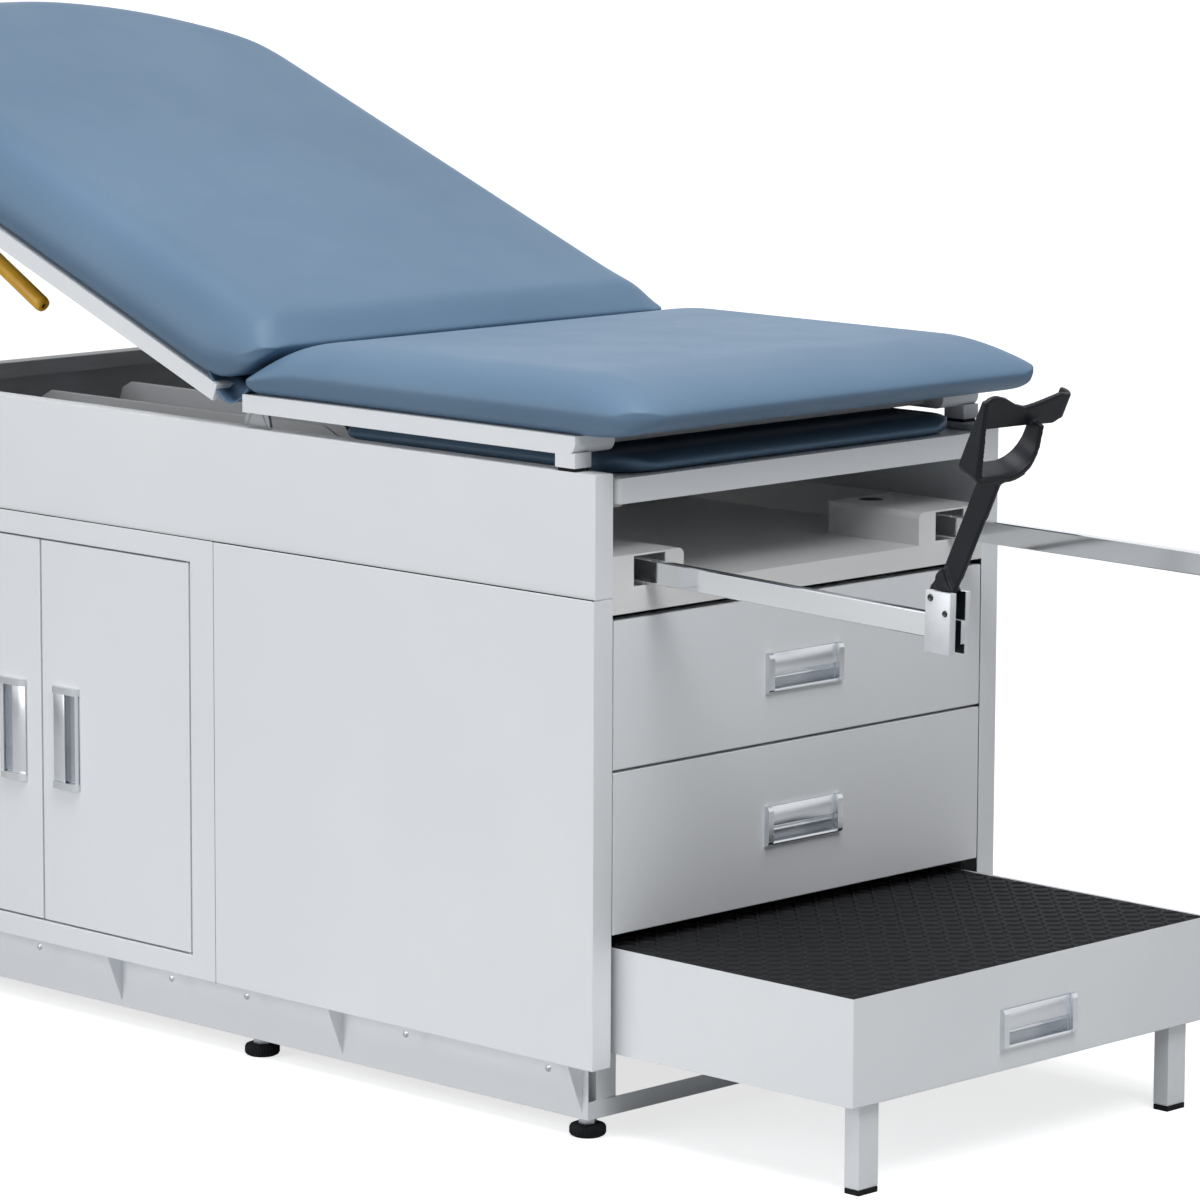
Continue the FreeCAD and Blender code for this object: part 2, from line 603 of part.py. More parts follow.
# Pull-out step
def step():
    front = "(foot_x+step_reach)"
    step_x = ("foot_x-step_tail", front)
    across = ("-step_half", "step_half")
    inner_x = grow(step_x, "-plate", "-plate")
    inner_y = grow(across, "-plate", "-plate")
    body = box(step_x, across, ("step_low", "step_high"))
    hollow = box(inner_x, inner_y, ("step_low-1", "step_high-6"))
    recess = box(inner_x, inner_y, ("step_high-4", "step_high+1"))
    window = box((f"{front}-plate-1", f"{front}+1"), ("7.5-handle_half", "handle_half-7.5"),
                 ("step_handle_z-handle_high/2+2", "step_handle_z+handle_high/2-2"))
    sub_part("step_box", cut(body, hollow, recess, window))
    mat_z = ("step_high-4", "step_high-0.5")
    sub_part("step_tread_mat", box(grow(inner_x, "-0.5", "-0.5"), grow(inner_y, "-0.5", "-0.5"), mat_z))
    leg_x = (f"{front}-leg_setback-leg_depth", f"{front}-leg_setback")
    leg_y = ("-leg_edge", "leg_width-leg_edge")
    leg = pan(leg_x, leg_y, ("6", "step_high-6"), "-z", skin="plate")
    plug = box(grow(leg_x, "-plate-0.2", "-plate-0.2"), grow(leg_y, "-plate-0.2", "-plate-0.2"), ("5", "22"))
    cap = fuse(box(leg_x, leg_y, ("0", "6")), plug)
    sub_part("step_legs", group(*both(leg)))
    sub_part("step_leg_caps", group(*both(cap)))
    runner = box(("foot_x-step_tail", "foot_x-door_depth"), ("-step_half-2.5", "-step_half"),
                 ("137.8", "152"))
    sub_part("step_runners", group(*both(runner)))
    sub_part("step_handle", turned(handle_pieces(), front, "0", "step_handle_z", FACING_FOOT))


# Moulded stirrup compartment under the leg rest
def stirrup_compartment():
    back_x = "(foot_x-tray_depth)"
    edge = INSIDE
    lower = box((back_x, "foot_x"), (f"-{edge}", edge), ("tray_low", "tray_floor"))
    rear_wall = box((back_x, "foot_x-housing_depth+8"), (f"-{edge}", edge), ("tray_floor-1", "housing_high"))
    housing = rounded_block(("foot_x-housing_depth", "foot_x"), (f"-{edge}", "-housing_edge"),
                            ("tray_floor-1", "housing_high"), "x", "8",
                            chooses=lambda middle: middle.z > 20 and middle.y > 20)
    rear = box((f"{back_x}+shell", "foot_x-housing_depth"), (f"shell-{edge}", f"{edge}-shell"),
               ("tray_floor", "housing_high+1"))
    middle = box(("foot_x-housing_depth-1", "foot_x-housing_depth+9"), ("-housing_edge", "housing_edge"),
                 ("tray_floor", "housing_high+1"))
    under = box((f"{back_x}+shell", "foot_x-shell"), (f"shell-{edge}", f"{edge}-shell"),
                ("tray_low-1", "tray_floor-shell"))
    inside = box(("foot_x-housing_depth-1", "foot_x-shell"), (f"shell-{edge}", "-housing_edge-3"),
                 ("tray_floor", "housing_high-shell"))
    slot = box(("foot_x-shell-1", "foot_x+1"), ("60-half_width", "108-half_width"),
               ("tray_floor+2.5", "housing_high-shell"))
    hole = rod("z", "15.5", ("housing_high-shell-1", "housing_high+1"),
               ("foot_x-swivel_back", "-swivel_edge"))
    sub_part("stirrup_compartment", cut(fuse(lower, rear_wall, *both(housing)), rear, middle, under,
                                        *both(inside), *both(slot), *both(hole)))


# Leg rest
def leg_rest():
    edge = INSIDE
    guide_points = [
        (f"-{edge}", "rest_low-2"), (f"12-{edge}", "rest_low-2"), (f"12-{edge}", "rest_low-0.3"),
        (f"sheet-{edge}", "rest_low-0.3"), (f"sheet-{edge}", "rest_high+0.5"), (f"9-{edge}", "rest_high+0.5"),
        (f"9-{edge}", "rest_high+2"), (f"-{edge}", "rest_high+2")]
    guide = profile_body("YZ", guide_points, "tray_depth", reversed_pad=True)
    place(guide, "foot_x")
    sub_part("leg_rest_guides", group(*both(guide)))
    tray_x = ("foot_x-rest_depth", "foot_x")
    across = ("-rest_half", "rest_half")
    plate = rounded_block(tray_x, across, ("rest_low", "rest_high"), "z", "rest_corner",
                          chooses=lambda middle: middle.x > 1)
    hollow = rounded_block(grow(tray_x, "-plate", "-plate"), grow(across, "-plate", "-plate"),
                           ("rest_low-1", "rest_high-plate"), "z", "rest_corner-plate",
                           chooses=lambda middle: middle.x > 1)
    sub_part("leg_rest_tray", cut(plate, hollow))
    layers = [(0, 5, 5, 5), (8, 0, 0, 0), (18, 4, 4, 4), (VALUE["rest_pad_high"], 30, 30, 30)]
    pad = cushion("leg_rest_cushion", number("foot_x-rest_depth+5"), number("foot_x-5"),
                  VALUE["rest_pad_half"], layers, 25, VALUE["rest_pad_corner"])
    place(pad, z="rest_high")


# Hinges, seat frame and backrest frame
def lug(x_far, y, reach):
    """Plate from a rail's end to the hinge pin; x is measured from the hinge axis."""
    eye = rod("y", "rail_half+3", y, ("0", "0"))
    bar = box((("0", x_far) if reach > 0 else (x_far, "0")), y, ("-rail_half+1", "rail_half-1"))
    bore = rod("y", "pin_radius+pin_play", grow(y, "1", "1"), ("0", "0"))
    return cut(fuse(eye, bar), bore)


def hinge_hardware():
    plate_y = ("48-half_width", "48-half_width+channel_wall")
    web = [("-27", "-52"), ("27", "-52"), ("14", "0"), ("9", "11"), ("-9", "11"), ("-14", "0")]
    plate = profile_body("XZ", web, "channel_wall")
    place(plate, HINGE_X, plate_y[1], "hinge_z")
    foot = box((f"{HINGE_X}-27", f"{HINGE_X}+27"), (f"-{INSIDE}", plate_y[1]), ("hinge_z-52", "hinge_z-48"))
    bore = rod("y", "pin_radius+pin_play", grow(plate_y, "1", "1"), (HINGE_X, "hinge_z"))
    bracket = cut(fuse(plate, foot), bore)
    sub_part("hinge_brackets", group(*both(bracket)))
    pin = rod("y", "pin_radius", ("38-half_width", "60-half_width"), (HINGE_X, "hinge_z"))
    head = place(hexagon("XZ", "pin_radius+3", "3"), HINGE_X, "38-half_width", "hinge_z")
    sub_part("hinge_pins", group(*both(fuse(pin, head))))


def seat_frame():
    rail_x = ("hinge_clear", "hinge_back-seat_front")
    rail_y = ("-rail_edge", "rail_width-rail_edge")
    rail_z = ("-rail_half", "rail_half")
    hollow = box(grow(rail_x, "-plate", "-14"), grow(rail_y, "-plate", "-plate"), grow(rail_z, "1", "-plate"))
    rail = cut(rounded_block(rail_x, rail_y, rail_z, "y", "12",
                             chooses=lambda middle: middle.x > 1 and middle.z < 1), hollow)
    post = box(("hinge_back-seat_front-post_depth", "hinge_back-seat_front"),
               ("-rail_edge", "post_width-rail_edge"), ("apron_top+pad_high-hinge_z", "-rail_half+plate"))
    ear = lug("hinge_clear+1", ("54-half_width", "58-half_width"), 1)
    bar_y = ("rail_width-rail_edge-1", "rail_edge-rail_width+1")
    bars = [pan((at, f"{at}+cross_bar"), bar_y, ("-6", "rail_half"), "-z") for at in SEAT_BARS]
    frame = fuse(*both(rail), *both(post), *both(ear), *bars)
    place(frame, HINGE_X, "0", "hinge_z")
    sub_part("seat_frame", frame)
    pad = box(("foot_x-seat_front-post_depth+2", "foot_x-seat_front-2"),
              ("2-rail_edge", "post_width-rail_edge-2"), ("apron_top", "apron_top+pad_high"))
    sub_part("seat_post_pads", group(*both(pad)))
    top = VALUE["seat_pad_high"]
    layers = [(0, 10, 8, 12), (20, 0, 0, 0), (top - 23, 11, 34, 14), (top - 7, 35, 112, 47), (top, 70, 220, 92)]
    padding = cushion("seat_cushion", VALUE["seat_pad_back"], number("hinge_back+seat_overhang"),
                      VALUE["pad_half"], layers, VALUE["pad_corner"], VALUE["pad_corner"])
    place(padding, HINGE_X, "0", "hinge_z+rail_half")


def on_backrest(target):
    """Turn a piece drawn flat from the hinge axis into the raised backrest."""
    target.Placement = FreeCAD.Placement(Vector(), Rotation(Vector(0, 1, 0), 1))
    place(target, HINGE_X, "0", "hinge_z")
    bind(target, "Placement.Rotation.Angle", "rest_tilt")
    return target


def cheek(middle_x, half, y, low, high):
    """Upright plate with its lower corners cut off, across a pivot."""
    points = [(f"{middle_x}-{half}", high), (f"{middle_x}-{half}", f"{low}+{half}/2"),
              (f"{middle_x}-{half}/2", low), (f"{middle_x}+{half}/2", low),
              (f"{middle_x}+{half}", f"{low}+{half}/2"), (f"{middle_x}+{half}", high)]
    return place(profile_body("XZ", points, f"({y[1]})-({y[0]})"), "0", y[1])


def backrest_frame():
    rail_y = ("-rail_edge", "rail_width-rail_edge")
    rail_z = ("-rail_half", "rail_half")
    rail = pan(("-back_rail_length", "-back_clear"), rail_y, rail_z, "-z", skin="plate")
    ear = lug("-back_clear-1", ("41-half_width", "45-half_width"), -1)
    bar_y = ("rail_width-rail_edge-1", "rail_edge-rail_width+1")
    bars = [pan((f"-{at}-cross_bar", f"-{at}"), bar_y, ("-6", "rail_half"), "-z") for at in BACK_BARS]
    clevis = fuse(cheek("-gas_arm", 14, ("14", "18"), "-gas_drop-18", "rail_half-1"),
                  rod("y", "6", ("8", "16"), ("-gas_arm", "-gas_drop")))
    lever_cheeks = [cheek("-lever_arm", 10, (f"{low}-lever_edge", f"{low}+3-lever_edge"), "-lever_drop-10",
                          "rail_half-1") for low in (-11, 8)]
    lever_pin = rod("y", "4", ("-11-lever_edge", "10-lever_edge"), ("-lever_arm", "-lever_drop"))
    frame = fuse(*both(rail), *both(ear), *bars, *both(clevis), *lever_cheeks, lever_pin)
    sub_part("backrest_frame", on_backrest(frame))
    top = VALUE["rail_half"] + VALUE["back_pad_high"]
    layers = [(VALUE["rail_half"], 10, 10, 10), (32, 0, 0, 0), (top - 38, 4, 5, 2), (top - 19, 15, 19, 9),
              (top - 6, 31, 40, 20), (top, 70, 90, 45)]
    padding = cushion("backrest_cushion", -VALUE["back_length"], -VALUE["back_pad_start"], VALUE["pad_half"],
                      layers, VALUE["head_corner"], VALUE["pad_corner"], VALUE["head_arc"])
    on_backrest(padding)


def release_lever():
    """Sprung hand lever under the near rail, with a plastic grip at its tip."""
    eye = cut(rod("y", "9", ("-6", "6"), ("0", "0")), rod("y", "4.06", ("-7", "7"), ("0", "0")))
    stem = rod("x", "rod_radius", ("8", "lever_length-20"), ("0", "0"))
    grip = cut(rod("x", "grip_radius", ("lever_length-grip_length", "lever_length"), ("0", "0")),
               rod("x", "rod_radius", ("lever_length-grip_length-1", "lever_length-20"), ("0", "0")),
               rod("x", "3.5", ("lever_length-21", "lever_length+1"), ("0", "0")))
    for name, piece in (("release_lever_rod", fuse(eye, stem)), ("release_lever_grip", grip)):
        piece.Placement = FreeCAD.Placement(Vector(), Rotation(Vector(0, 1, 0), 1))
        bind(piece, "Placement.Rotation.Angle", "rest_tilt+lever_angle")
        place(piece, f"{HINGE_X}-lever_arm*cos(rest_tilt)-lever_drop*sin(rest_tilt)", "-lever_edge",
              "hinge_z+lever_arm*sin(rest_tilt)-lever_drop*cos(rest_tilt)")
        sub_part(name, piece)


# Gas spring and its channel
def mechanism_channel():
    back_x = "(foot_x-channel_back)"
    front_x = "(foot_x-channel_front)"
    side_points = [(back_x, "seam_height"), (front_x, "seam_height"), (front_x, "channel_high-30"),
                   (f"{front_x}-68", "channel_high"), (f"{back_x}+22", "channel_high"),
                   (f"{back_x}+6", "channel_high-8"), (back_x, "channel_high-26")]
    side = profile_body("XZ", side_points, "channel_wall")
    place(side, "0", "channel_wall-channel_half")
    web = box((back_x, front_x), ("-channel_half", "channel_half"),
              ("seam_height", "seam_height+channel_wall"))
    sub_part("mechanism_channel", fuse(*both(side), web))
    anchor = rod("y", "5", ("channel_wall-channel_half", "channel_half-channel_wall"),
                 ("foot_x-gas_back", "gas_z"))
    bolt = place(hexagon("XZ", 9, "6"), "foot_x-1100", "-channel_half", "channel_high-18")
    sub_part("mechanism_bolts", group(anchor, *both(bolt)))


def gas_spring():
    anchor = Vector(number("foot_x-gas_back"), 0, number("gas_z"))
    pivot = Vector(number(f"{HINGE_X}-gas_arm*cos(rest_tilt)-gas_drop*sin(rest_tilt)"), 0,
                   number("hinge_z+gas_arm*sin(rest_tilt)-gas_drop*cos(rest_tilt)"))
    along = pivot - anchor
    slope = math.degrees(math.atan2(along.z, along.x))
    reach = str(along.Length)
    eye = cut(rod("y", "10", ("-12", "12"), ("0", "0")), rod("y", "5.06", ("-13", "13"), ("0", "0")))
    tube = cut(rod("x", "gas_radius", ("8", "gas_body"), ("0", "0")),
               rod("y", "5.06", ("-15", "15"), ("0", "0")),
               rod("x", "rod_radius+0.4", ("24", "gas_body+1"), ("0", "0")))
    rod_bar = rod("x", "rod_radius", (f"{reach}-gas_rod", f"{reach}-6"), ("0", "0"))
    rod_eye = rod("y", "8", ("-5", "5"), (reach, "0"))
    for name, piece in (("gas_spring_cylinder", fuse(eye, tube)), ("gas_spring_rod", fuse(rod_bar, rod_eye))):
        piece.Placement = FreeCAD.Placement(anchor, Rotation(Vector(0, 1, 0), -slope))
        sub_part(name, piece)
    print("gas spring at rest:", round(along.Length, 2), "mm at", round(slope, 3), "degrees")


# Stirrups
def foot_stirrup():
    """Leaning arm, loop and upright sole plate of the near stirrup, drawn straight up from the fold pin."""
    arm = profile_body("XZ", [("-10", "-4"), ("-4", "-10"), ("6", "-10"), ("arm_front-4", "-4"),
                              ("arm_front", "8"), ("arm_front", "loop_low+2"), ("arm_back", "loop_low+2"),
                              ("arm_back", "20"), ("-10", "6")], "blade")
    place(arm, "0", "blade/2")
    shoulder = profile_body("XZ", [("-0.8", "10.2"), ("4.2", "10.1"), ("21.5", "18"), ("11.2", "24"),
                                   ("-0.2", "29.6"), ("-4.4", "24.4")], "shoulder_width")
    place(shoulder, "0", "shoulder_width/2")
    bore = rod("y", "fold_pin+pin_play", ("-blade", "blade"), ("0", "0"))
    wall = profile_body("XZ", [("loop_back", "loop_low"), ("loop_front", "loop_low"),
                               ("loop_front", "loop_low+23"), ("14", "sole_low-5"),
                               ("sole_front", "sole_low"), ("loop_back+2", "sole_low+28"),
                               ("loop_back-4", "sole_low+18"), ("loop_back-6", "loop_low+33")], "blade")
    place(wall, "0", "blade-loop_out")
    depth = ("loop_back", "loop_front")
    bend_y = "(loop_in-loop_bend)"
    bend_z = "(loop_low+loop_bend)"
    ring = cut(rod("x", "loop_bend", depth, (bend_y, bend_z)),
               rod("x", "loop_bend-blade", grow(depth, "1", "1"), (bend_y, bend_z)))
    bend = overlap(ring, box(grow(depth, "1", "1"), (bend_y, "loop_in+1"), ("loop_low-1", bend_z)))
    floor = box(depth, ("1-loop_out", bend_y), ("loop_low", "loop_low+blade"))
    inner_wall = box(depth, ("loop_in-blade", "loop_in"), (bend_z, "sole_low+6"))
    sole = box(("-blade", "0"), ("-loop_out", "sole_in"), ("0", "sole_high"))
    curl = overlap(cut(rod("z", "curl", ("0", "sole_high-5"), ("-curl", "sole_in")),
                       rod("z", "curl-blade", ("-1", "sole_high+1"), ("-curl", "sole_in"))),
                   box(("-2*curl-1", "1"), ("sole_in", "sole_in+curl+1"), ("-1", "sole_high+1")))
    dip = rod("x", "sole_dip", ("-blade-1", "1"), ("32", "sole_high-10+sole_dip"))
    plate = cut(fuse(sole, curl), dip)
    plate.Placement = FreeCAD.Placement(Vector(), Rotation(Vector(0, 1, 0), -VALUE["sole_turn"]))
    place(plate, "sole_front", "0", "sole_low")
    return cut(fuse(arm, shoulder, wall, bend, floor, inner_wall, plate), bore)


def chamfered(plane, across, along, corner, length):
    """Bar whose four long edges are cut off."""
    (left, right), (low, high) = across, along
    points = [(f"{left}+{corner}", low), (f"{right}-{corner}", low), (right, f"{low}+{corner}"),
              (right, f"{high}-{corner}"), (f"{right}-{corner}", high), (f"{left}+{corner}", high),
              (left, f"{high}-{corner}"), (left, f"{low}+{corner}")]
    return profile_body(plane, points, length)


def stirrups():
    """Swivel guide, sliding bar, bracket and foot stirrup; the far side mirrors the near one."""
    opening = box(("-23", "23"), ("-bar_width/2-bar_play", "bar_width/2+bar_play"),
                  ("-bar_high/2-bar_play", "bar_high/2+bar_play"))
    guide = cut(fuse(box(("-22", "22"), ("-10", "10"), ("-bar_high/2-4", "bar_high/2+2.4")),
                     rod("z", "14.5", ("bar_high/2", "housing_high-swivel_z-0.8"), ("0", "0")),
                     rod("z", "9", ("tray_floor-swivel_z+0.3", "-bar_high/2-2"), ("0", "0"))), opening)
    rear = "(bar_reach-bracket_depth)"
    slit_y = ("-blade/2-0.4", "blade/2+0.4")
    bar_y = ("-bar_width/2", "bar_width/2")
    bar_z = ("-bar_high/2", "bar_high/2")
    bar = chamfered("YZ", bar_y, bar_z, "1", f"{rear}+bracket_grip+bar_tail")
    place(bar, "-bar_tail")
    block = chamfered("XY", (rear, "bar_reach"), ("-bracket_width/2", "bracket_width/2"), "2",
                      "bracket_low+bracket_high")
    place(block, "0", "0", "-bracket_low")
    socket = box((f"{rear}-1", f"{rear}+bracket_grip"), bar_y, bar_z)
    whole_z = ("-bracket_low-1", "bracket_high+1")
    front_slit = box((f"{rear}+bracket_grip+3", "bar_reach+1"), slit_y, whole_z)
    top_slit = box((f"{rear}-1", f"{rear}+bracket_grip+4"), slit_y, ("bar_high/2+0.5", "bracket_high+1"))
    wide_slit = box(("bar_reach-9", "bar_reach+1"), (slit_y[0], "bracket_width/2-4"), ("8", "bracket_high-5"))
    pin_y = ("-bracket_width/2-0.6", "bracket_width/2+0.6")
    fold_pin = rod("y", "fold_pin", pin_y, ("bar_reach-fold_in", "fold_high"))
    bracket = fuse(cut(block, socket, front_slit, top_slit, wide_slit), fold_pin)
    seat = FreeCAD.Placement(Vector(), Rotation(-VALUE["bar_splay"], VALUE["bar_droop"], 0))
    for name, piece in (("swivel_guide", guide), ("stirrup_bar", bar), ("stirrup_bracket", bracket)):
        placed = group(piece)
        placed.Placement = seat
        place(placed, "foot_x-swivel_back", "-swivel_edge", "swivel_z")
        sub_part("near_" + name, placed)
        sub_part("far_" + name, mirror(placed))
    stirrup = group(foot_stirrup())
    lean = Rotation(-VALUE["bar_splay"], VALUE["bar_droop"], 0)
    pin_at = lean.multVec(Vector(number("bar_reach-fold_in"), 0, VALUE["fold_high"]))
    stirrup.Placement = FreeCAD.Placement(
        Vector(number("foot_x-swivel_back"), -VALUE["swivel_edge"], VALUE["swivel_z"]) + pin_at,
        Rotation(-VALUE["bar_splay"], VALUE["stirrup_lean"], 0))
    sub_part("near_foot_stirrup", stirrup)
    sub_part("far_foot_stirrup", mirror(stirrup))


def run():
    side_panels()
    inner_sheets()
    apron()
    plinth()
    levelling_feet()
    doors()
    drawers_and_rails()
    step()
    stirrup_compartment()
    leg_rest()
    hinge_hardware()
    seat_frame()
    backrest_frame()
    release_lever()
    mechanism_channel()
    gas_spring()
    stirrups()


run()
doc.recompute()
for item in doc.Objects:
    if "Invalid" in item.State or "Error" in item.State:
        raise RuntimeError(f"{item.Label} failed: {item.State}")
for item in SUB_PARTS:
    if item.Shape.isNull() or not item.Shape.isValid():
        raise RuntimeError(f"{item.Label} has no valid shape")
os.makedirs("parts", exist_ok=True)
for item in SUB_PARTS:
    item.Shape.exportStep(f"parts/{item.Label}.step")
print(len(SUB_PARTS), "sub-parts")
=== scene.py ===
# %% [markdown]
# An examination table is a painted steel cabinet with a padded top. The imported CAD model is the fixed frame
# of this lesson: most steel parts keep their shape and only get a finish, while the padding, the moulded
# stirrups, the recessed handles and the ribbed tread are modelled here, in metres, where the frame says.

import json
import math
from collections import namedtuple

import bmesh
import bpy
from mathutils import Matrix, Vector, noise
from mathutils.bvhtree import BVHTree


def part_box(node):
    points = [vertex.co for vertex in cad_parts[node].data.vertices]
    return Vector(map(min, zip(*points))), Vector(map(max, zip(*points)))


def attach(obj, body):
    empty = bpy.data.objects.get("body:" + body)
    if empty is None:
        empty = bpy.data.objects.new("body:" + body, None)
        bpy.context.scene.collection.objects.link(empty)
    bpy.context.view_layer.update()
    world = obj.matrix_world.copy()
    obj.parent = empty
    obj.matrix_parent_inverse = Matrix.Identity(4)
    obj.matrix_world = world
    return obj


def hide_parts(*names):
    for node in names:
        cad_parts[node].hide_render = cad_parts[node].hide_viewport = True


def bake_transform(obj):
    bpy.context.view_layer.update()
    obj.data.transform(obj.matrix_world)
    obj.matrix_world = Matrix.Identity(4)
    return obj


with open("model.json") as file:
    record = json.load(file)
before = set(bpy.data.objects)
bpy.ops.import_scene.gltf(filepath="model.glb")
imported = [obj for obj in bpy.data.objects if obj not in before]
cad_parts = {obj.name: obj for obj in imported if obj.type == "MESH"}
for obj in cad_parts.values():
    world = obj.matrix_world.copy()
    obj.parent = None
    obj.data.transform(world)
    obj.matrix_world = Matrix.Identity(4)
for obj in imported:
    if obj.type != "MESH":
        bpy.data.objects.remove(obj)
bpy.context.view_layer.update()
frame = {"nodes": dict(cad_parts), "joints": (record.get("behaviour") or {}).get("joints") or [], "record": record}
scene = bpy.context.scene
NODES = frame["nodes"]
JOINTS = {joint["name"]: joint for joint in frame["joints"]}
SLOT_OF = {row["node"]: row["material_slot"] for row in frame["record"]["subparts"]}
MM = 0.001

# %% [markdown]
# The camera comes first, because it decides what shows. It was solved from the edges of the cabinet: a long
# lens a little above the seat, whose optical centre is not the middle of the picture. The lens shift holds
# that.

# %% Camera
PICTURE_SIDE = 1200
FOCAL_PIXELS = 5577.3
OPTICAL_CENTRE = (711.6, 558.5)
SENSOR_WIDTH = 36.0
CAMERA_AT = Vector((4.5058, -4.4287, 1.4943))
AZIMUTH = math.radians(43.519)
ELEVATION = math.radians(8.446)
ROLL = math.radians(0.383)

camera_data = bpy.data.cameras.new("long_lens")
camera_data.sensor_width = SENSOR_WIDTH
camera_data.lens = SENSOR_WIDTH * FOCAL_PIXELS / PICTURE_SIDE
camera_data.shift_x = 0.5 - OPTICAL_CENTRE[0] / PICTURE_SIDE
camera_data.shift_y = OPTICAL_CENTRE[1] / PICTURE_SIDE - 0.5
back = Vector((math.sin(AZIMUTH) * math.cos(ELEVATION), -math.cos(AZIMUTH) * math.cos(ELEVATION),
               math.sin(ELEVATION)))
level = Vector((math.cos(AZIMUTH), math.sin(AZIMUTH), 0))
right = level * math.cos(ROLL) + back.cross(level) * math.sin(ROLL)
camera = bpy.data.objects.new("long_lens", camera_data)
turned = Matrix((right, back.cross(right), back)).transposed().to_4x4()
camera.matrix_world = Matrix.Translation(CAMERA_AT) @ turned
scene.collection.objects.link(camera)
scene.camera = camera
print("lens", round(camera_data.lens, 1), "mm")

# %% [markdown]
# Every finish is a node tree. One function turns a hex colour to linear light, and one adds a node with its
# settings and links. Patterns read Object coordinates, which are metres here, so a noise scale is one
# divided by the real size of the grain.


# %% Node helpers
def linear(hex_colour):
    """A colour written as sRGB hex, as the linear values that nodes expect."""
    parts = [int(hex_colour[at:at + 2], 16) / 255 for at in (1, 3, 5)]
    return [c / 12.92 if c <= 0.04045 else ((c + 0.055) / 1.055) ** 2.4 for c in parts] + [1.0]


def add(tree, kind, settings=None, values=None, links=None):
    """One node with its properties, its input values and what feeds its inputs."""
    node = tree.nodes.new(kind)
    for name, value in (settings or {}).items():
        setattr(node, name, value)
    for name, value in (values or {}).items():
        node.inputs[name].default_value = value
    for name, source in (links or {}).items():
        tree.links.new(source, node.inputs[name])
    return node


def grain(size):
    """Noise scale for a grain of that many millimetres."""
    return 1 / (size * MM)


def new_finish(name, **constants):
    """Material with one shader, whose constant values are set on the shader itself."""
    material = bpy.data.materials.new(name)
    material.use_nodes = True
    shader = material.node_tree.nodes["Principled BSDF"]
    for socket, value in constants.items():
        shader.inputs[socket.replace("_", " ")].default_value = value
    return material, material.node_tree, shader


def surface(name, tones, tone_size, gloss, gloss_size, bump_size, bump_depth, stretch=(1, 1, 1), **constants):
    """Finish with a drifting tone, drifting gloss and one fine relief, all in millimetres."""
    material, tree, shader = new_finish(name, **constants)
    place = add(tree, "ShaderNodeTexCoord")
    mapped = add(tree, "ShaderNodeMapping", values={"Scale": stretch},
                 links={"Vector": place.outputs["Object"]})
    drift = add(tree, "ShaderNodeTexNoise", values={"Scale": grain(tone_size), "Detail": 3},
                links={"Vector": mapped.outputs["Vector"]})
    colours = add(tree, "ShaderNodeValToRGB", links={"Fac": drift.outputs["Fac"]})
    for stop, (position, tone) in zip(colours.color_ramp.elements, zip((0.3, 0.7), tones)):
        stop.position = position
        stop.color = linear(tone)
    tree.links.new(colours.outputs["Color"], shader.inputs["Base Color"])
    haze = add(tree, "ShaderNodeTexNoise", values={"Scale": grain(gloss_size), "Detail": 2},
               links={"Vector": mapped.outputs["Vector"]})
    spread = add(tree, "ShaderNodeMapRange", values={"To Min": gloss[0], "To Max": gloss[1]},
                 links={"Value": haze.outputs["Fac"]})
    tree.links.new(spread.outputs["Result"], shader.inputs["Roughness"])
    relief = add(tree, "ShaderNodeTexNoise", values={"Scale": grain(bump_size), "Detail": 2},
                 links={"Vector": mapped.outputs["Vector"]})
    bump = add(tree, "ShaderNodeBump", values={"Strength": 1.0, "Distance": bump_depth * MM},
               links={"Height": relief.outputs["Fac"]})
    tree.links.new(bump.outputs["Normal"], shader.inputs["Normal"])
    return material


# %% [markdown]
# Most finishes are industrial coats: a powder coat with a faint orange peel, zinc, chrome, moulded plastic
# and rubber. They share one recipe with three sizes: how far the tone drifts, how far the gloss drifts, and
# the relief.

# %% Metal, plastic and rubber finishes
# Epoxy powder coat, baked on steel: half matt, with an orange peel drawn as coarse as 3 mm so that it shows
POWDER_COAT = surface("white_powder_coat", ("#DDE0E4", "#E3E6E9"), 420, (0.36, 0.46), 90, 3, 0.02, IOR=1.5)
# Vacuum-formed polystyrene: warmer and a little duller than the coat
MOULDED_TRAY = surface("white_moulded_polystyrene", ("#D6D7D7", "#DDDEDE"), 200, (0.42, 0.52), 60, 2.5, 0.03,
                       IOR=1.55)
# Bright chrome plate on steel bar, with faint wiping marks
CHROME = surface("chrome_plate", ("#E2E5E8", "#EEF0F2"), 60, (0.05, 0.13), 25, 8, 0.004, (0.15, 1, 1),
                 Metallic=1.0)
# Satin anodised extrusion: brushed along its length, drawn coarser than the real 0.1 mm lines
ALUMINIUM = surface("satin_anodised_aluminium", ("#D0D4D8", "#DEE1E5"), 30, (0.2, 0.3), 4, 1.2, 0.012,
                    (1, 0.06, 1), Metallic=1.0)
UPRIGHT_ALUMINIUM = surface("satin_aluminium_upright", ("#D0D4D8", "#DEE1E5"), 30, (0.2, 0.3), 4, 1.2, 0.012,
                            (1, 1, 0.06), Metallic=1.0)
# Bead-blasted and lacquered zinc casting
CASTING = surface("satin_zinc_casting", ("#CACDD2", "#D5D8DC"), 25, (0.42, 0.52), 8, 1.4, 0.03, Metallic=0.4)
# Zinc-plated steel: spangled tone, half bright
ZINC = surface("zinc_plated_steel", ("#9DA1A6", "#C3C6CA"), 14, (0.24, 0.42), 10, 2, 0.01, Metallic=1.0)
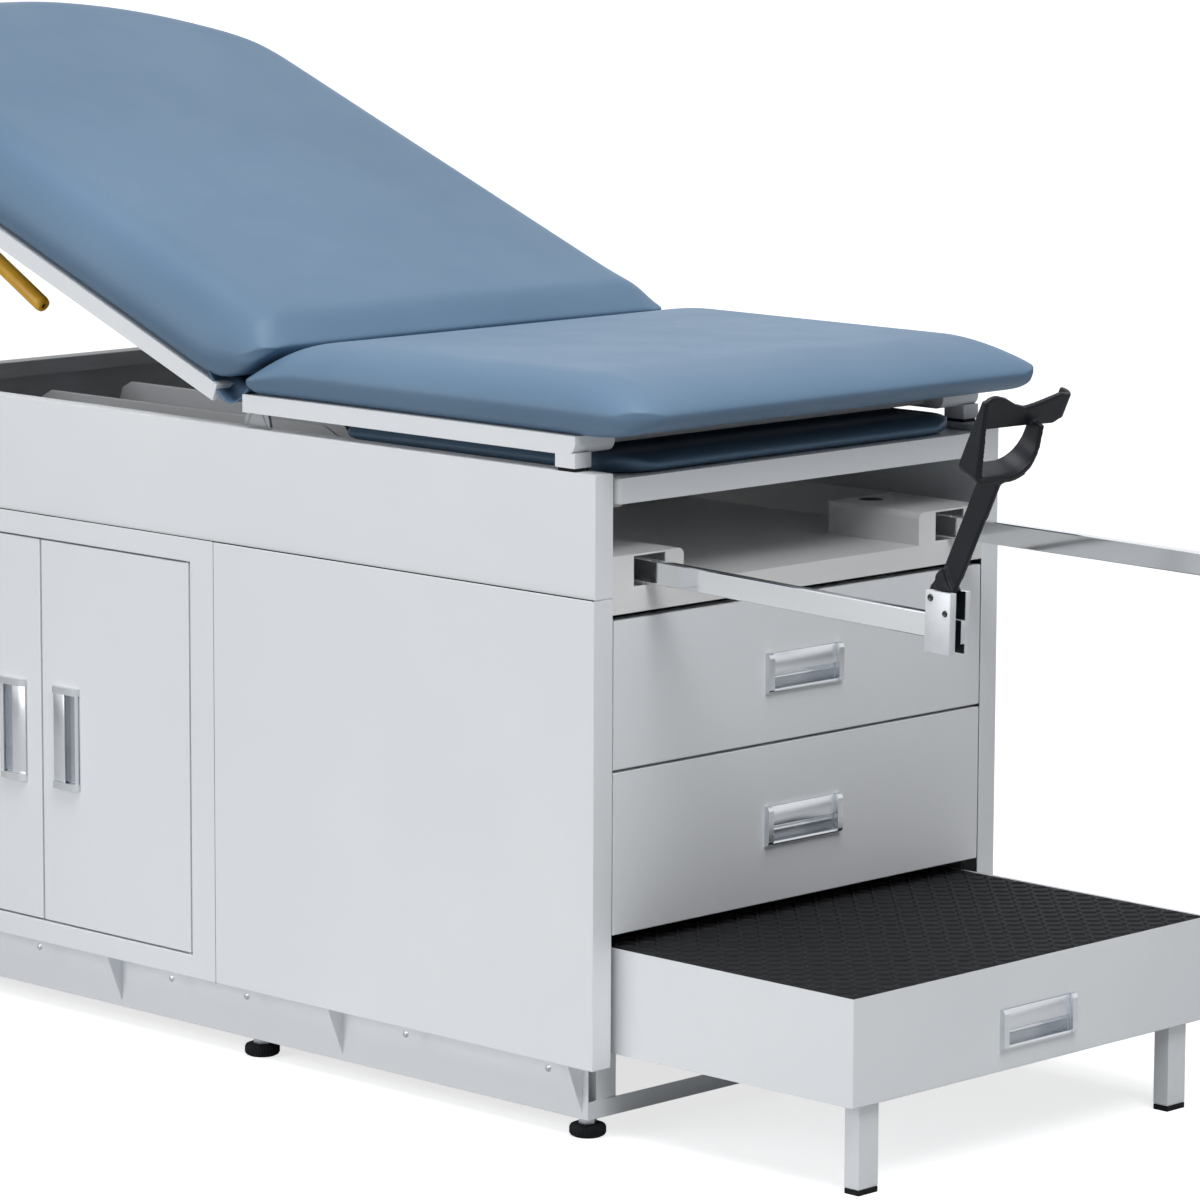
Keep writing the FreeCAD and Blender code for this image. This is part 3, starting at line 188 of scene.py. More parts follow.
# Glass-filled nylon: black with a fine spark-eroded grain and a soft sheen
NYLON = surface("black_filled_nylon", ("#15171C", "#1B1D23"), 30, (0.34, 0.44), 12, 1.1, 0.03, IOR=1.53,
                Specular_IOR_Level=0.18)
# Vulcanised rubber: nearly black and dull, with a drifting tone
RUBBER = surface("black_rubber", ("#0E0F12", "#151619"), 22, (0.72, 0.85), 9, 1.6, 0.06, IOR=1.42,
                 Specular_IOR_Level=0.3)
# Dipped soft PVC: warm yellow with a slight skin
GRIP_PVC = surface("yellow_soft_pvc", ("#CE9910", "#D8A61C"), 26, (0.36, 0.48), 9, 1.6, 0.04, IOR=1.53)
# Painted shade for the recesses: a dull, slightly warm grey drawn as zinc phosphate primer on the sheets inside
# the cabinet
INNER_SHADE_GREY = surface("grey_primer_painted_shade", ("#8C8B85", "#98978F"), 160, (0.6, 0.72), 40, 2.5, 0.03, IOR=1.5)
# Black stoving enamel
ENAMEL = surface("black_stoving_enamel", ("#15161A", "#1D1E22"), 40, (0.22, 0.34), 20, 3, 0.02, IOR=1.5)
# Bonded dust cover under the padding: black felt, dull and slightly rough
DUST_COVER = surface("black_dust_cover", ("#1B1C1F", "#26272B"), 9, (0.85, 0.95), 12, 1.5, 0.15, IOR=1.45)

# %% [markdown]
# The padding wears contract vinyl: knitted cloth with a foamed PVC face, embossed like fine leather. The
# eye reads a soft wide highlight, a slow drift of tone and a pebble grain. Voronoi cells give the pebbles:
# their edges sink in the relief and go slightly darker. The real pebbles are about 1 mm; 2.2 mm lets them
# show.


# %% Upholstery vinyl
PEBBLE = 2.2
PEBBLE_DEPTH = 0.06
FURROW_WIDTH = 0.16
FURROW_SHADE = 0.93
TONE_DRIFT = 260
GLOSS_DRIFT = 70
VINYL_GLOSS = (0.4, 0.52)
VINYL_TONES = ("#58728B", "#5E7891")


def upholstery_vinyl():
    material, tree, shader = new_finish("blue_upholstery_vinyl", IOR=1.5, Specular_IOR_Level=0.3)
    place = add(tree, "ShaderNodeTexCoord").outputs["Object"]
    drift = add(tree, "ShaderNodeTexNoise", values={"Scale": grain(TONE_DRIFT), "Detail": 2},
                links={"Vector": place})
    colours = add(tree, "ShaderNodeValToRGB", links={"Fac": drift.outputs["Fac"]})
    for stop, (position, tone) in zip(colours.color_ramp.elements, zip((0.35, 0.65), VINYL_TONES)):
        stop.position = position
        stop.color = linear(tone)
    pebbles = add(tree, "ShaderNodeTexVoronoi", settings={"feature": "DISTANCE_TO_EDGE"},
                  values={"Scale": grain(PEBBLE)}, links={"Vector": place})
    furrow = add(tree, "ShaderNodeMapRange", links={"Value": pebbles.outputs["Distance"]},
                 values={"From Max": FURROW_WIDTH, "To Min": FURROW_SHADE, "To Max": 1.0})
    shaded = add(tree, "ShaderNodeVectorMath", settings={"operation": "SCALE"},
                 links={0: colours.outputs["Color"], "Scale": furrow.outputs["Result"]})
    tree.links.new(shaded.outputs["Vector"], shader.inputs["Base Color"])
    haze = add(tree, "ShaderNodeTexNoise", values={"Scale": grain(GLOSS_DRIFT), "Detail": 2},
               links={"Vector": place})
    spread = add(tree, "ShaderNodeMapRange", values={"To Min": VINYL_GLOSS[0], "To Max": VINYL_GLOSS[1]},
                 links={"Value": haze.outputs["Fac"]})
    tree.links.new(spread.outputs["Result"], shader.inputs["Roughness"])
    bump = add(tree, "ShaderNodeBump", values={"Strength": 0.6, "Distance": PEBBLE_DEPTH * MM},
               links={"Height": furrow.outputs["Result"]})
    tree.links.new(bump.outputs["Normal"], shader.inputs["Normal"])
    return material


VINYL = upholstery_vinyl()
FINISHES = {"white_steel": POWDER_COAT, "blue_vinyl": VINYL, "bright_steel": ZINC, "black_steel": ENAMEL,
            "chrome": CHROME, "satin_casting": CASTING, "satin_aluminium": ALUMINIUM, "black_rubber": RUBBER,
            "black_plastic": NYLON, "yellow_plastic": GRIP_PVC, "white_plastic": MOULDED_TRAY}

# %% [markdown]
# Folded sheet steel has no knife edges: each fold is round and takes a thin line of light. The CAD meshes
# are loose triangles, so a Weld modifier closes them, a Bevel rounds what is sharper than 40 degrees, and
# Weighted Normal keeps the wide faces flat. The meshes themselves stay as they are. Sheets that only show
# inside the cabinet get a dull grey drawn as primer, which paints shade into the recesses.

# %% Finish and soften the CAD parts
EDGE_ROUNDING = {"white_steel": 1.3, "white_plastic": 1.6, "satin_casting": 0.8, "black_rubber": 0.6,
                 "black_plastic": 0.6, "chrome": 0.3}
INNER_SHADE_SHEETS = ("bulkhead", "well_floor", "drawer_bay_linings", "leg_rest_guides")
SHARP = math.radians(40)
SAME_SPOT = 0.01 * MM


def soften(node, width):
    weld = node.modifiers.new("weld", "WELD")
    weld.merge_threshold = SAME_SPOT
    rounding = node.modifiers.new("folds", "BEVEL")
    rounding.width = width * MM
    rounding.segments = 2
    rounding.limit_method = "ANGLE"
    rounding.angle_limit = SHARP
    normals = node.modifiers.new("flat_faces", "WEIGHTED_NORMAL")
    normals.keep_sharp = False


for name, node in NODES.items():
    slot = SLOT_OF[name]
    for material_slot in node.material_slots:
        # The inner sheets take the darker grey: painted shade in the cabinet's recesses
        material_slot.material = INNER_SHADE_GREY if name in INNER_SHADE_SHEETS else FINISHES[slot]
    if slot in EDGE_ROUNDING:
        soften(node, EDGE_ROUNDING[slot])
print("softened", sum(1 for slot in SLOT_OF.values() if slot in EDGE_ROUNDING), "CAD parts")

# %% [markdown]
# New pieces all end the same way: recalculated normals, a mesh at the origin, smooth shading up to a sharp
# angle, a body to ride on, and the CAD parts that they stand for.


# %% Piece helper
def make_piece(name, bm, body, finish, stands_for=(), sharp=35):
    bmesh.ops.recalc_face_normals(bm, faces=bm.faces)
    mesh = bpy.data.meshes.new(name)
    bm.to_mesh(mesh)
    bm.free()
    mesh.materials.append(finish)
    mesh.shade_smooth()
    mesh.set_sharp_from_angle(angle=math.radians(sharp))
    made = bpy.data.objects.new(name, mesh)
    scene.collection.objects.link(made)
    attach(made, body)
    if stands_for:
        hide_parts(*stands_for)
    print(name, len(mesh.polygons), "faces")
    return made


def bevel(bm, edges, offset, segments=2):
    bmesh.ops.bevel(bm, geom=list(edges), offset=offset, offset_type="OFFSET", affect="EDGES",
                    segments=segments, profile=0.5, material=-1, clamp_overlap=True)


def block(bm, low, high):
    """Box between two corners; returns its vertices."""
    verts = bmesh.ops.create_cube(bm, size=1.0)["verts"]
    low, high = Vector(low), Vector(high)
    bmesh.ops.scale(bm, vec=high - low, verts=verts)
    bmesh.ops.translate(bm, vec=(low + high) / 2, verts=verts)
    return verts


def edges_of(verts):
    return list({edge for vert in verts for edge in vert.link_edges})


def plate(bm, corners, across, thickness):
    """Flat outline through a few corners, given a thickness along one direction."""
    face = bm.faces.new([bm.verts.new(corner) for corner in corners])
    grown = bmesh.ops.extrude_face_region(bm, geom=[face])["geom"]
    moved = [item for item in grown if isinstance(item, bmesh.types.BMVert)]
    bmesh.ops.translate(bm, vec=Vector(across) * thickness, verts=moved)


# %% [markdown]
# A firm clinic pad is foam on a board under one stretched skin. Its plan is walked with a compass: each
# corner is a point spun round its centre, and the head end of the backrest is one wide arc. The plan is
# raised to a block and remeshed into even quads. A pad is written down in millimetres: the ends and half
# width of its plan, its corner radii, the heights of hem and crown, how high its widest edge lies, and how
# its shoulders roll.

# %% Pad blanks
Pad = namedtuple("Pad", ("low_x", "high_x", "half", "low_corner", "high_corner", "head_arc", "bottom",
                         "crown", "edge", "end_edges", "rolls", "fullness", "tuck", "swell"))
VOXEL = 8 * MM
CORNER_STEPS = 8
HEAD_CORNER_STEPS = 6
HEAD_STEPS = 40
WALK_GAP = 0.05 * MM


def corner_walk(pad):
    """Arcs of a pad's plan in walking order: first point, centre, turn in degrees and steps."""
    low, high, half = pad.low_x, pad.high_x, pad.half
    near, far = pad.low_corner, pad.high_corner
    arcs = [((low + near, -half), (low + near, near - half), -90, CORNER_STEPS),
            ((low, half - near), (low + near, half - near), -90, CORNER_STEPS)]
    if pad.head_arc:
        reach, rise = pad.head_arc - near, half - near
        centre = low + pad.head_arc
        corner = centre - math.sqrt(reach ** 2 - rise ** 2)
        sweep = math.degrees(math.acos(rise / reach))
        side = Vector((corner - centre, rise)) * pad.head_arc / reach
        arcs = [((corner, -half), (corner, -rise), -sweep, HEAD_CORNER_STEPS),
                ((centre + side.x, -side.y), (centre, 0), 2 * sweep - 180, HEAD_STEPS),
                ((centre + side.x, side.y), (corner, rise), -sweep, HEAD_CORNER_STEPS)]
    return arcs + [((high - far, half), (high - far, half - far), -90, CORNER_STEPS),
                   ((high, far - half), (high - far, far - half), -90, CORNER_STEPS)]


def pad_block(pad):
    """Upright block over the pad's plan, and a search tree of its walls."""
    bm = bmesh.new()
    walk = []
    for start, centre, degrees, steps in corner_walk(pad):
        known = set(bm.verts)
        first = bm.verts.new(Vector(start).to_3d() * MM)
        bmesh.ops.spin(bm, geom=[first], cent=Vector(centre).to_3d() * MM, axis=(0, 0, 1),
                       angle=math.radians(degrees), steps=steps)
        walk += [vert for vert in bm.verts if vert not in known]
    bm.faces.new(walk)
    bmesh.ops.remove_doubles(bm, verts=bm.verts, dist=WALK_GAP)
    bmesh.ops.translate(bm, vec=(0, 0, pad.bottom * MM), verts=bm.verts)
    grown = bmesh.ops.extrude_face_region(bm, geom=list(bm.faces))["geom"]
    raised = [item for item in grown if isinstance(item, bmesh.types.BMVert)]
    bmesh.ops.translate(bm, vec=(0, 0, (pad.crown - pad.bottom) * MM), verts=raised)
    bmesh.ops.recalc_face_normals(bm, faces=bm.faces)
    walls = bm.copy()
    level = [face for face in walls.faces if abs(face.normal.z) > 0.5]
    bmesh.ops.delete(walls, geom=level, context="FACES_ONLY")
    tree = BVHTree.FromBMesh(walls)
    walls.free()
    return bm, tree


def applied(piece):
    """Bake an object's modifiers into its mesh."""
    bpy.context.view_layer.update()
    baked = bpy.data.meshes.new_from_object(piece.evaluated_get(bpy.context.evaluated_depsgraph_get()))
    piece.modifiers.clear()
    piece.data = baked


def remeshed(bm, voxel):
    """Even quads over a closed shape, as a new loose object."""
    mesh = bpy.data.meshes.new("blank")
    bm.to_mesh(mesh)
    bm.free()
    blank = bpy.data.objects.new("blank", mesh)
    scene.collection.objects.link(blank)
    remesh = blank.modifiers.new("voxels", "REMESH")
    remesh.mode = "VOXEL"
    remesh.voxel_size = voxel
    applied(blank)
    return blank


# %% [markdown]
# The block becomes a pad in three steps. First each point takes a height from its distance to the sides and
# ends: the product of three quarter ellipses rolls every shoulder and thins the corners, as foam does under
# a pulled skin. The foam then pushes up at the crown. Last the skin is blown up as cloth with its hem held,
# and drawn back until it domes by only two millimetres.

# %% Roll the shoulders and blow up the skin
SIM_FRAMES = 20
PRESSURE = 4.0
SKIN_STIFFNESS = 30
SKIN_QUALITY = 4
AIR_DAMPING = 10
HOLD_AT_HEM = 1.25
HOLD_FALL = 1.6
DOME = 2 * MM
HEM_TUCK = 14 * MM
RIM_MERGE = 0.5 * MM
END_RUN = 90
END_FULLNESS = 1.2


def quarter(share, fullness):
    """Height along a rolled shoulder, from 0 at its foot to 1 at its crown."""
    left = 1 - min(1.0, max(0.0, share))
    return (1 - left ** fullness) ** (1 / fullness)


def roll_shoulders(blank, pad, walls):
    """Widest at the edge height, tucked in at the hem, rising to the crown over the rolls."""
    low, high = pad.bottom * MM, pad.crown * MM
    middle = (low + high) / 2
    centre = Vector((pad.low_x + (pad.head_arc or 0), 0)) * MM
    for vert in blank.data.vertices:
        spot = vert.co.xy / MM
        from_low = spot.x - pad.low_x
        if pad.head_arc and vert.co.x < centre.x:
            from_low = pad.head_arc - (vert.co.xy - centre).length / MM
        gaps = (pad.half - abs(spot.y), from_low, pad.high_x - spot.x)
        rise = math.prod(quarter(gap / roll, full) for gap, roll, full in zip(gaps, pad.rolls, pad.fullness))
        inset = walls.find_nearest(Vector((vert.co.x, vert.co.y, middle)))[3]
        edge = pad.edge
        for gap, share in zip(gaps[1:], pad.end_edges):
            edge *= share + (1 - share) * quarter(gap / END_RUN, END_FULLNESS)
        top = (edge + (pad.crown - pad.swell - pad.bottom - edge) * rise) * MM
        run, full = pad.tuck
        tucked = min(quarter(inset / HEM_TUCK, 2), quarter(gaps[2] / run, full))
        bottom = edge * MM * (1 - tucked)
        vert.co.z = low + bottom + max(0.0, top - bottom) * (vert.co.z - low) / (high - low)


def close_rim(blank):
    """Merge the points that the roll brought together, because cloth needs edges with a length."""
    bm = bmesh.new()
    bm.from_mesh(blank.data)
    bmesh.ops.remove_doubles(bm, verts=bm.verts, dist=RIM_MERGE)
    bm.to_mesh(blank.data)
    bm.free()


def blow_up(blank, pad):
    """Swell the skin as cloth, held along its hem, and draw it back to a slight dome."""
    start = [vert.co.copy() for vert in blank.data.vertices]
    held = blank.vertex_groups.new(name="held")
    for vert in blank.data.vertices:
        rise = (vert.co.z / MM - pad.bottom) / (pad.crown - pad.bottom)
        held.add([vert.index], min(1.0, max(0.0, HOLD_AT_HEM - HOLD_FALL * rise)), "REPLACE")
    cloth = blank.modifiers.new("skin", "CLOTH")
    cloth.settings.vertex_group_mass = "held"
    cloth.settings.use_pressure = True
    cloth.settings.uniform_pressure_force = PRESSURE
    cloth.settings.quality = SKIN_QUALITY
    cloth.settings.air_damping = AIR_DAMPING
    cloth.settings.tension_stiffness = SKIN_STIFFNESS
    cloth.settings.compression_stiffness = SKIN_STIFFNESS
    cloth.settings.effector_weights.gravity = 0
    cloth.collision_settings.use_collision = False
    cloth.point_cache.frame_end = SIM_FRAMES
    for step in range(1, SIM_FRAMES + 1):
        scene.frame_set(step)
    swollen = blank.evaluated_get(bpy.context.evaluated_depsgraph_get()).data
    ends = [vert.co.copy() for vert in swollen.vertices]
    blank.modifiers.clear()
    blank.vertex_groups.clear()
    scene.frame_set(1)
    widest = max((after - before).length for before, after in zip(start, ends))
    share = min(1.0, DOME / widest)
    for vert, before, after in zip(blank.data.vertices, start, ends):
        vert.co = before + (after - before) * share
    print("skin moved up to", round(widest / MM, 1), "mm, drawn back to", round(widest * share / MM, 1), "mm")


def lift(blank, pad):
    """The foam pushes up under the skin, most at its crown."""
    for vert in blank.data.vertices:
        rise = (vert.co.z / MM - pad.bottom) / (pad.crown - pad.bottom)
        vert.co.z += pad.swell * MM * max(0.0, 2 * rise - 1)


# %% [markdown]
# An upholsterer pulls the skin over the edges and staples it under the board. That draws the sides in a
# little between the corners, and the spare vinyl at each corner is gathered in small pleats along the hem.
# The backrest pad ends in a nose that rests on the seat pad's rear slope. When the backrest tilts, the foam
# bends there; here this pad is only placed at the backrest's tilt and rides on no body, while the others ride on
# one body each.

# %% Tailor and place the pads
DRAW_IN = 3 * MM
DRAW_BAND = 60 * MM
HEM_BAND = 15 * MM
HEM_INSET = 38 * MM
PLEAT = 9 * MM
PLEAT_DEPTH = 2.2 * MM
SIDE_PLEATS = 0.25
CORNER_FROM = 0.7
END_FACING = 0.7
SOFTENING = 8
COVER_RISE = 2


def tailor(blank, pad, walls):
    low = pad.bottom * MM
    middle = low + (pad.crown - pad.bottom) * MM / 2
    centre = (pad.low_x + pad.high_x) * MM / 2
    half_length = (pad.high_x - pad.low_x) * MM / 2
    for vert in blank.data.vertices:
        nearest = walls.find_nearest(Vector((vert.co.x, vert.co.y, middle)))
        outward, inset = nearest[1], nearest[3]
        along = abs(vert.co.x - centre) / half_length
        if abs(outward.x) > END_FACING:
            along = abs(vert.co.y) / (pad.half * MM)
        vert.co -= outward * DRAW_IN * max(0.0, 1 - inset / DRAW_BAND) * max(0.0, 1 - along ** 2)
        near_hem = max(0.0, 1 - (vert.co.z - low) / HEM_BAND) * max(0.0, 1 - inset / (2 * HEM_BAND))
        gather = SIDE_PLEATS + max(0.0, along - CORNER_FROM) / (1 - CORNER_FROM)
        pleat = noise.noise(Vector((vert.co.x, vert.co.y, low)) / PLEAT) * near_hem * gather
        vert.co -= outward * PLEAT_DEPTH * pleat


def cushion(name, pad, node, place):
    """Finished pad, carried from its own frame to its place."""
    block_of_plan, walls = pad_block(pad)
    blank = remeshed(block_of_plan, VOXEL)
    roll_shoulders(blank, pad, walls)
    close_rim(blank)
    lift(blank, pad)
    blow_up(blank, pad)
    finer = blank.modifiers.new("finer", "SUBSURF")
    finer.levels = finer.render_levels = 1
    softer = blank.modifiers.new("softer", "SMOOTH")
    softer.factor = 0.5
    softer.iterations = SOFTENING
    applied(blank)
    tailor(blank, pad, walls)
    blank.name = name
    blank.data.materials.clear()
    for finish in (VINYL, DUST_COVER):
        blank.data.materials.append(finish)
    hem = (pad.bottom + COVER_RISE) * MM
    middle = (pad.bottom + pad.crown) * MM / 2
    for face in blank.data.polygons:
        inset = walls.find_nearest(Vector((face.center.x, face.center.y, middle)))[3]
        face.material_index = 1 if face.center.z < hem and inset > HEM_INSET else 0
        face.use_smooth = True
    blank.data.transform(place)
    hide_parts(node)
    print(name, len(blank.data.polygons), "faces")
    return blank


# The backrest's tilt and its hinge, which place the pads, in metres
BACK_TILT = math.radians(-JOINTS["backrest_tilt"]["range_deg"][0])
HINGE = Vector(JOINTS["backrest_tilt"]["pos_m"])
AT_HINGE = Matrix.Translation(HINGE)
ON_BACKREST = AT_HINGE @ Matrix.Rotation(BACK_TILT, 4, "Y")
rest_low, rest_high = (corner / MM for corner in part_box("leg_rest_cushion"))
SEAT_PAD = Pad(low_x=28, high_x=650, half=329, low_corner=16, high_corner=45, head_arc=None, bottom=10,
               crown=75, edge=27, end_edges=(0.5, 1), rolls=(54, 140, 115), fullness=(1.7, 1.7, 1.7),
               tuck=(90, 2), swell=3)
BACK_PAD = Pad(low_x=-904, high_x=36, half=329, low_corner=100, high_corner=30, head_arc=400, bottom=10,
               crown=104, edge=23, end_edges=(1, 3), rolls=(62, 75, 44), fullness=(2, 2, 1.6),
               tuck=(90, 1.2), swell=4)
REST_PAD = Pad(low_x=rest_low.x, high_x=rest_high.x, half=rest_high.y, low_corner=25, high_corner=60,
               head_arc=None, bottom=rest_low.z, crown=rest_high.z, edge=8, end_edges=(1, 1),
               rolls=(30, 30, 30), fullness=(2, 2, 2), tuck=(14, 2), swell=2)
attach(cushion("seat_pad", SEAT_PAD, "seat_cushion", AT_HINGE), "seat")
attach(cushion("leg_rest_pad", REST_PAD, "leg_rest_cushion", Matrix.Identity(4)), "leg_rest")
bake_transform(cushion("backrest_pad", BACK_PAD, "backrest_cushion", ON_BACKREST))

# %% [markdown]
# Where the backrest meets the seat a vinyl flap closes the gap, so that nothing falls into the hinge. It is
# one sheet that hangs in a shallow trough above the hinge pins and droops at both sides, gathered in small
# folds. It rides on no body.

# %% Hinge flap
FLAP_HALF = 322 * MM
FLAP_SEAT_END = Vector((36, 0, 17)) * MM
FLAP_BACK_END = (40 * MM, 17 * MM)
FLAP_CLEAR = 15 * MM
FLAP_DROOP = 17 * MM
FLAP_LEVEL_HALF = 287 * MM
FLAP_DROOP_RUN = 14 * MM
FOLD_PITCH = 11 * MM
FOLD_DEPTH = 0.5 * MM
FOLD_DEPTH_AT_SIDE = 1.1 * MM
FLAP_COLUMNS = 24
FLAP_ROWS = 150
FLAP_THICK = 1.2 * MM


def hinge_flap():
    bm = bmesh.new()
    bmesh.ops.create_grid(bm, x_segments=FLAP_COLUMNS, y_segments=FLAP_ROWS, size=1.0)
    turn = Matrix.Rotation(BACK_TILT, 3, "Y")
    far_end = turn @ Vector((-FLAP_BACK_END[0], 0, FLAP_BACK_END[1]))
    for vert in bm.verts:
        share = (vert.co.x + 1) / 2
        across = vert.co.y * FLAP_HALF
        outer = min(1.0, max(0.0, (abs(across) - FLAP_LEVEL_HALF) / FLAP_DROOP_RUN))
        low = Vector((0, 0, FLAP_CLEAR - FLAP_DROOP * outer ** 2))
        sag = 2 * low - (far_end + FLAP_SEAT_END) / 2
        spot = far_end * (1 - share) ** 2 + 2 * share * (1 - share) * sag + FLAP_SEAT_END * share ** 2
        fold = noise.noise(Vector((share * 0.8, across / FOLD_PITCH, 4.0)))
        spot.z += (FOLD_DEPTH + FOLD_DEPTH_AT_SIDE * outer) * fold * math.sin(math.pi * share)
        vert.co = HINGE + Vector((spot.x, across, spot.z))
    mesh = bpy.data.meshes.new("hinge_flap")
    bm.to_mesh(mesh)
    bm.free()
    flap = bpy.data.objects.new("hinge_flap", mesh)
    scene.collection.objects.link(flap)
    mesh.materials.append(VINYL)
    mesh.shade_smooth()
    thick = flap.modifiers.new("skin", "SOLIDIFY")
    thick.thickness = FLAP_THICK
    thick.offset = 1
    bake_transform(flap)


hinge_flap()

# %% [markdown]
# A recessed handle is a short extrusion: a curved finger cup, a slanted cover plate above it, a rolled lip
# below and a bowed cap at each end. It is modelled once, facing +X with its length along Y, and turned into
# place.

# %% Handles
HANDLE_HALF = 60 * MM
CAP_WIDTH = 8 * MM
CAP_PROUD = 7 * MM
HANDLE_HIGH = 45 * MM
CUP_DEPTH = 17 * MM
CUP_TOP = 3 * MM
CUP_BOTTOM = -18.5 * MM
CUP_WALL = 0.8 * MM
CUP_GAP = 0.4 * MM
COVER_X = (0.4 * MM, 2.6 * MM)
COVER_SLANT = math.radians(-5)
LIP_RADIUS = 2.5 * MM
LIP_AT = (2.5 * MM, 0, -19.5 * MM)
BOW = 0.9


def handle_form():
    bm = bmesh.new()
    inner = HANDLE_HALF - CAP_WIDTH
    cup_edge = [bm.verts.new((0, side * (inner - CUP_GAP), CUP_TOP)) for side in (-1, 1)]
    rim = bm.edges.new(cup_edge)
    bmesh.ops.spin(bm, geom=[*cup_edge, rim], cent=(0, 0, (CUP_TOP + CUP_BOTTOM) / 2), axis=(0, 1, 0),
                   angle=-math.pi, steps=14)
    bmesh.ops.scale(bm, vec=(CUP_DEPTH / ((CUP_TOP - CUP_BOTTOM) / 2), 1, 1), verts=bm.verts)
    for side in (-1, 1):
        bmesh.ops.contextual_create(bm, geom=[vert for vert in bm.verts if vert.co.y * side > 0])
    bmesh.ops.recalc_face_normals(bm, faces=bm.faces)
    bmesh.ops.solidify(bm, geom=bm.faces, thickness=CUP_WALL)
    cover = block(bm, (COVER_X[0], -inner, 0), (COVER_X[1], inner, HANDLE_HIGH / 2 - MM))
    slant = Matrix.Rotation(COVER_SLANT, 3, "Y")
    bmesh.ops.rotate(bm, verts=cover, cent=(0, 0, HANDLE_HIGH / 2), matrix=slant)
    bevel(bm, edges_of(cover), 0.6 * MM)
    lying = Matrix.Rotation(math.pi / 2, 4, "X")
    bmesh.ops.create_cone(bm, cap_ends=True, segments=20, radius1=LIP_RADIUS, radius2=LIP_RADIUS,
                          depth=2 * inner, matrix=Matrix.Translation(LIP_AT) @ lying)
    for side in (-1, 1):
        outer = sorted((side * inner, side * HANDLE_HALF))
        cap = block(bm, (0, outer[0], -HANDLE_HIGH / 2), (CAP_PROUD, outer[1], HANDLE_HIGH / 2))
        bow = [edge for edge in edges_of(cap) if all(vert.co.x > MM for vert in edge.verts)
               and abs(edge.verts[0].co.y - edge.verts[1].co.y) > MM]
        bmesh.ops.bevel(bm, geom=bow, offset=CAP_PROUD * BOW, offset_type="OFFSET", affect="EDGES",
                        segments=6, profile=0.5, material=-1)
    return bm


FACING = {
    "foot": Matrix.Identity(4),
    "door_foot_side": Matrix.Rotation(-math.pi / 2, 4, "Z") @ Matrix.Rotation(math.pi / 2, 4, "X"),
    "door_head_side": Matrix.Rotation(-math.pi / 2, 4, "Z") @ Matrix.Rotation(-math.pi / 2, 4, "X"),
}
for node, facing, body in (("upper_drawer_handle", "foot", "upper_drawer"),
                           ("lower_drawer_handle", "foot", "lower_drawer"), ("step_handle", "foot", "step"),
                           ("foot_door_handle", "door_foot_side", "foot_side_door"),
                           ("head_door_handle", "door_head_side", "head_side_door")):
    low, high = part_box(node)
    spot = (low + high) / 2
    if facing == "foot":
        spot.x = high.x - CAP_PROUD
    else:
        spot.y = low.y + CAP_PROUD
    bm = handle_form()
    bmesh.ops.transform(bm, matrix=Matrix.Translation(spot) @ FACING[facing], verts=bm.verts)
    finish = ALUMINIUM if facing == "foot" else UPRIGHT_ALUMINIUM
    make_piece("recessed_" + node, bm, body, finish, (node,))

# %% [markdown]
# The foot stirrup is one nylon moulding: a leaning arm with a shoulder, a band round the foot that is open
# at its top, and a sole plate with a hollow for the heel and a rolled end. All are drawn in millimetres in
# the arm's own upright frame, fused by a voxel remesh and smoothed, which leaves the soft inner radii of a
# moulding. Then the arm is leaned and splayed as the bar stands.

# %% Foot stirrups
SPLAY = math.radians(2.4)
LEAN = math.radians(25.5)
STIRRUP_VOXEL = 1.5 * MM
STIRRUP_SMOOTHING = 4
BLADE = 6 * MM
SHOULDER = 19 * MM
BAND_BACK = -4 * MM
BAND_WIDTH = 31 * MM
ARM_OUTLINE = ((-10, -4), (-4, -10), (6, -10), (18, -4), (22, 8), (25, 152), (-2, 152), (-2, 30), (-10, 6))
SHOULDER_OUTLINE = ((-0.8, 10.6), (4.2, 10.6), (21, 18), (11.2, 24), (-0.2, 34), (-4, 24.4))
LOOP_OUTLINE = ((-39, 230), (-39, 148), (47, 148), (47, 204), (41, 204), (41, 157), (-33, 157), (-33, 230))
LOOP_ROUNDS = {1: 12, 2: 36, 5: 29, 6: 7}
LIMB_TAPERS = {0: 25, 3: 12, 4: 12, 7: 25}
SOLE_OUTLINE = ((-37, 198), (76, 196), (83, 200), (83, 229), (74, 231), (60, 227), (40, 221.5), (26, 219),
                (10, 223), (-8, 231.5), (-22, 235), (-32, 233.5), (-38, 227))
CURL = 9
CURL_ANGLE = math.radians(162)
ROUND_STEPS = 8


def foot_loop():
    """Band round the foot, open at its top, whose two limbs taper back towards the sole."""
    bm = bmesh.new()
    corners = [bm.verts.new((BAND_BACK, y * MM, z * MM)) for y, z in LOOP_OUTLINE]
    face = bm.faces.new(corners)
    grown = bmesh.ops.extrude_face_region(bm, geom=[face])["geom"]
    front = [item for item in grown if isinstance(item, bmesh.types.BMVert)]
    bmesh.ops.translate(bm, vec=(BAND_WIDTH, 0, 0), verts=front)
    for index, taper in LIMB_TAPERS.items():
        spot = corners[index].co + Vector((BAND_WIDTH, 0, 0))
        limb_end = min(front, key=lambda vert: (vert.co - spot).length)
        bmesh.ops.translate(bm, vec=(-taper * MM, 0, 0), verts=[limb_end])
    for index, radius in LOOP_ROUNDS.items():
        across = [edge for edge in corners[index].link_edges
                  if abs(edge.verts[0].co.x - edge.verts[1].co.x) > MM]
        bevel(bm, across, radius * MM, ROUND_STEPS)
    return bm


def join_into(bm, part):
    """Move a part's geometry into another bmesh."""
    scratch = bpy.data.meshes.new("scratch")
    bmesh.ops.recalc_face_normals(part, faces=part.faces)
    part.to_mesh(scratch)
    part.free()
    bm.from_mesh(scratch)
    bpy.data.meshes.remove(scratch)


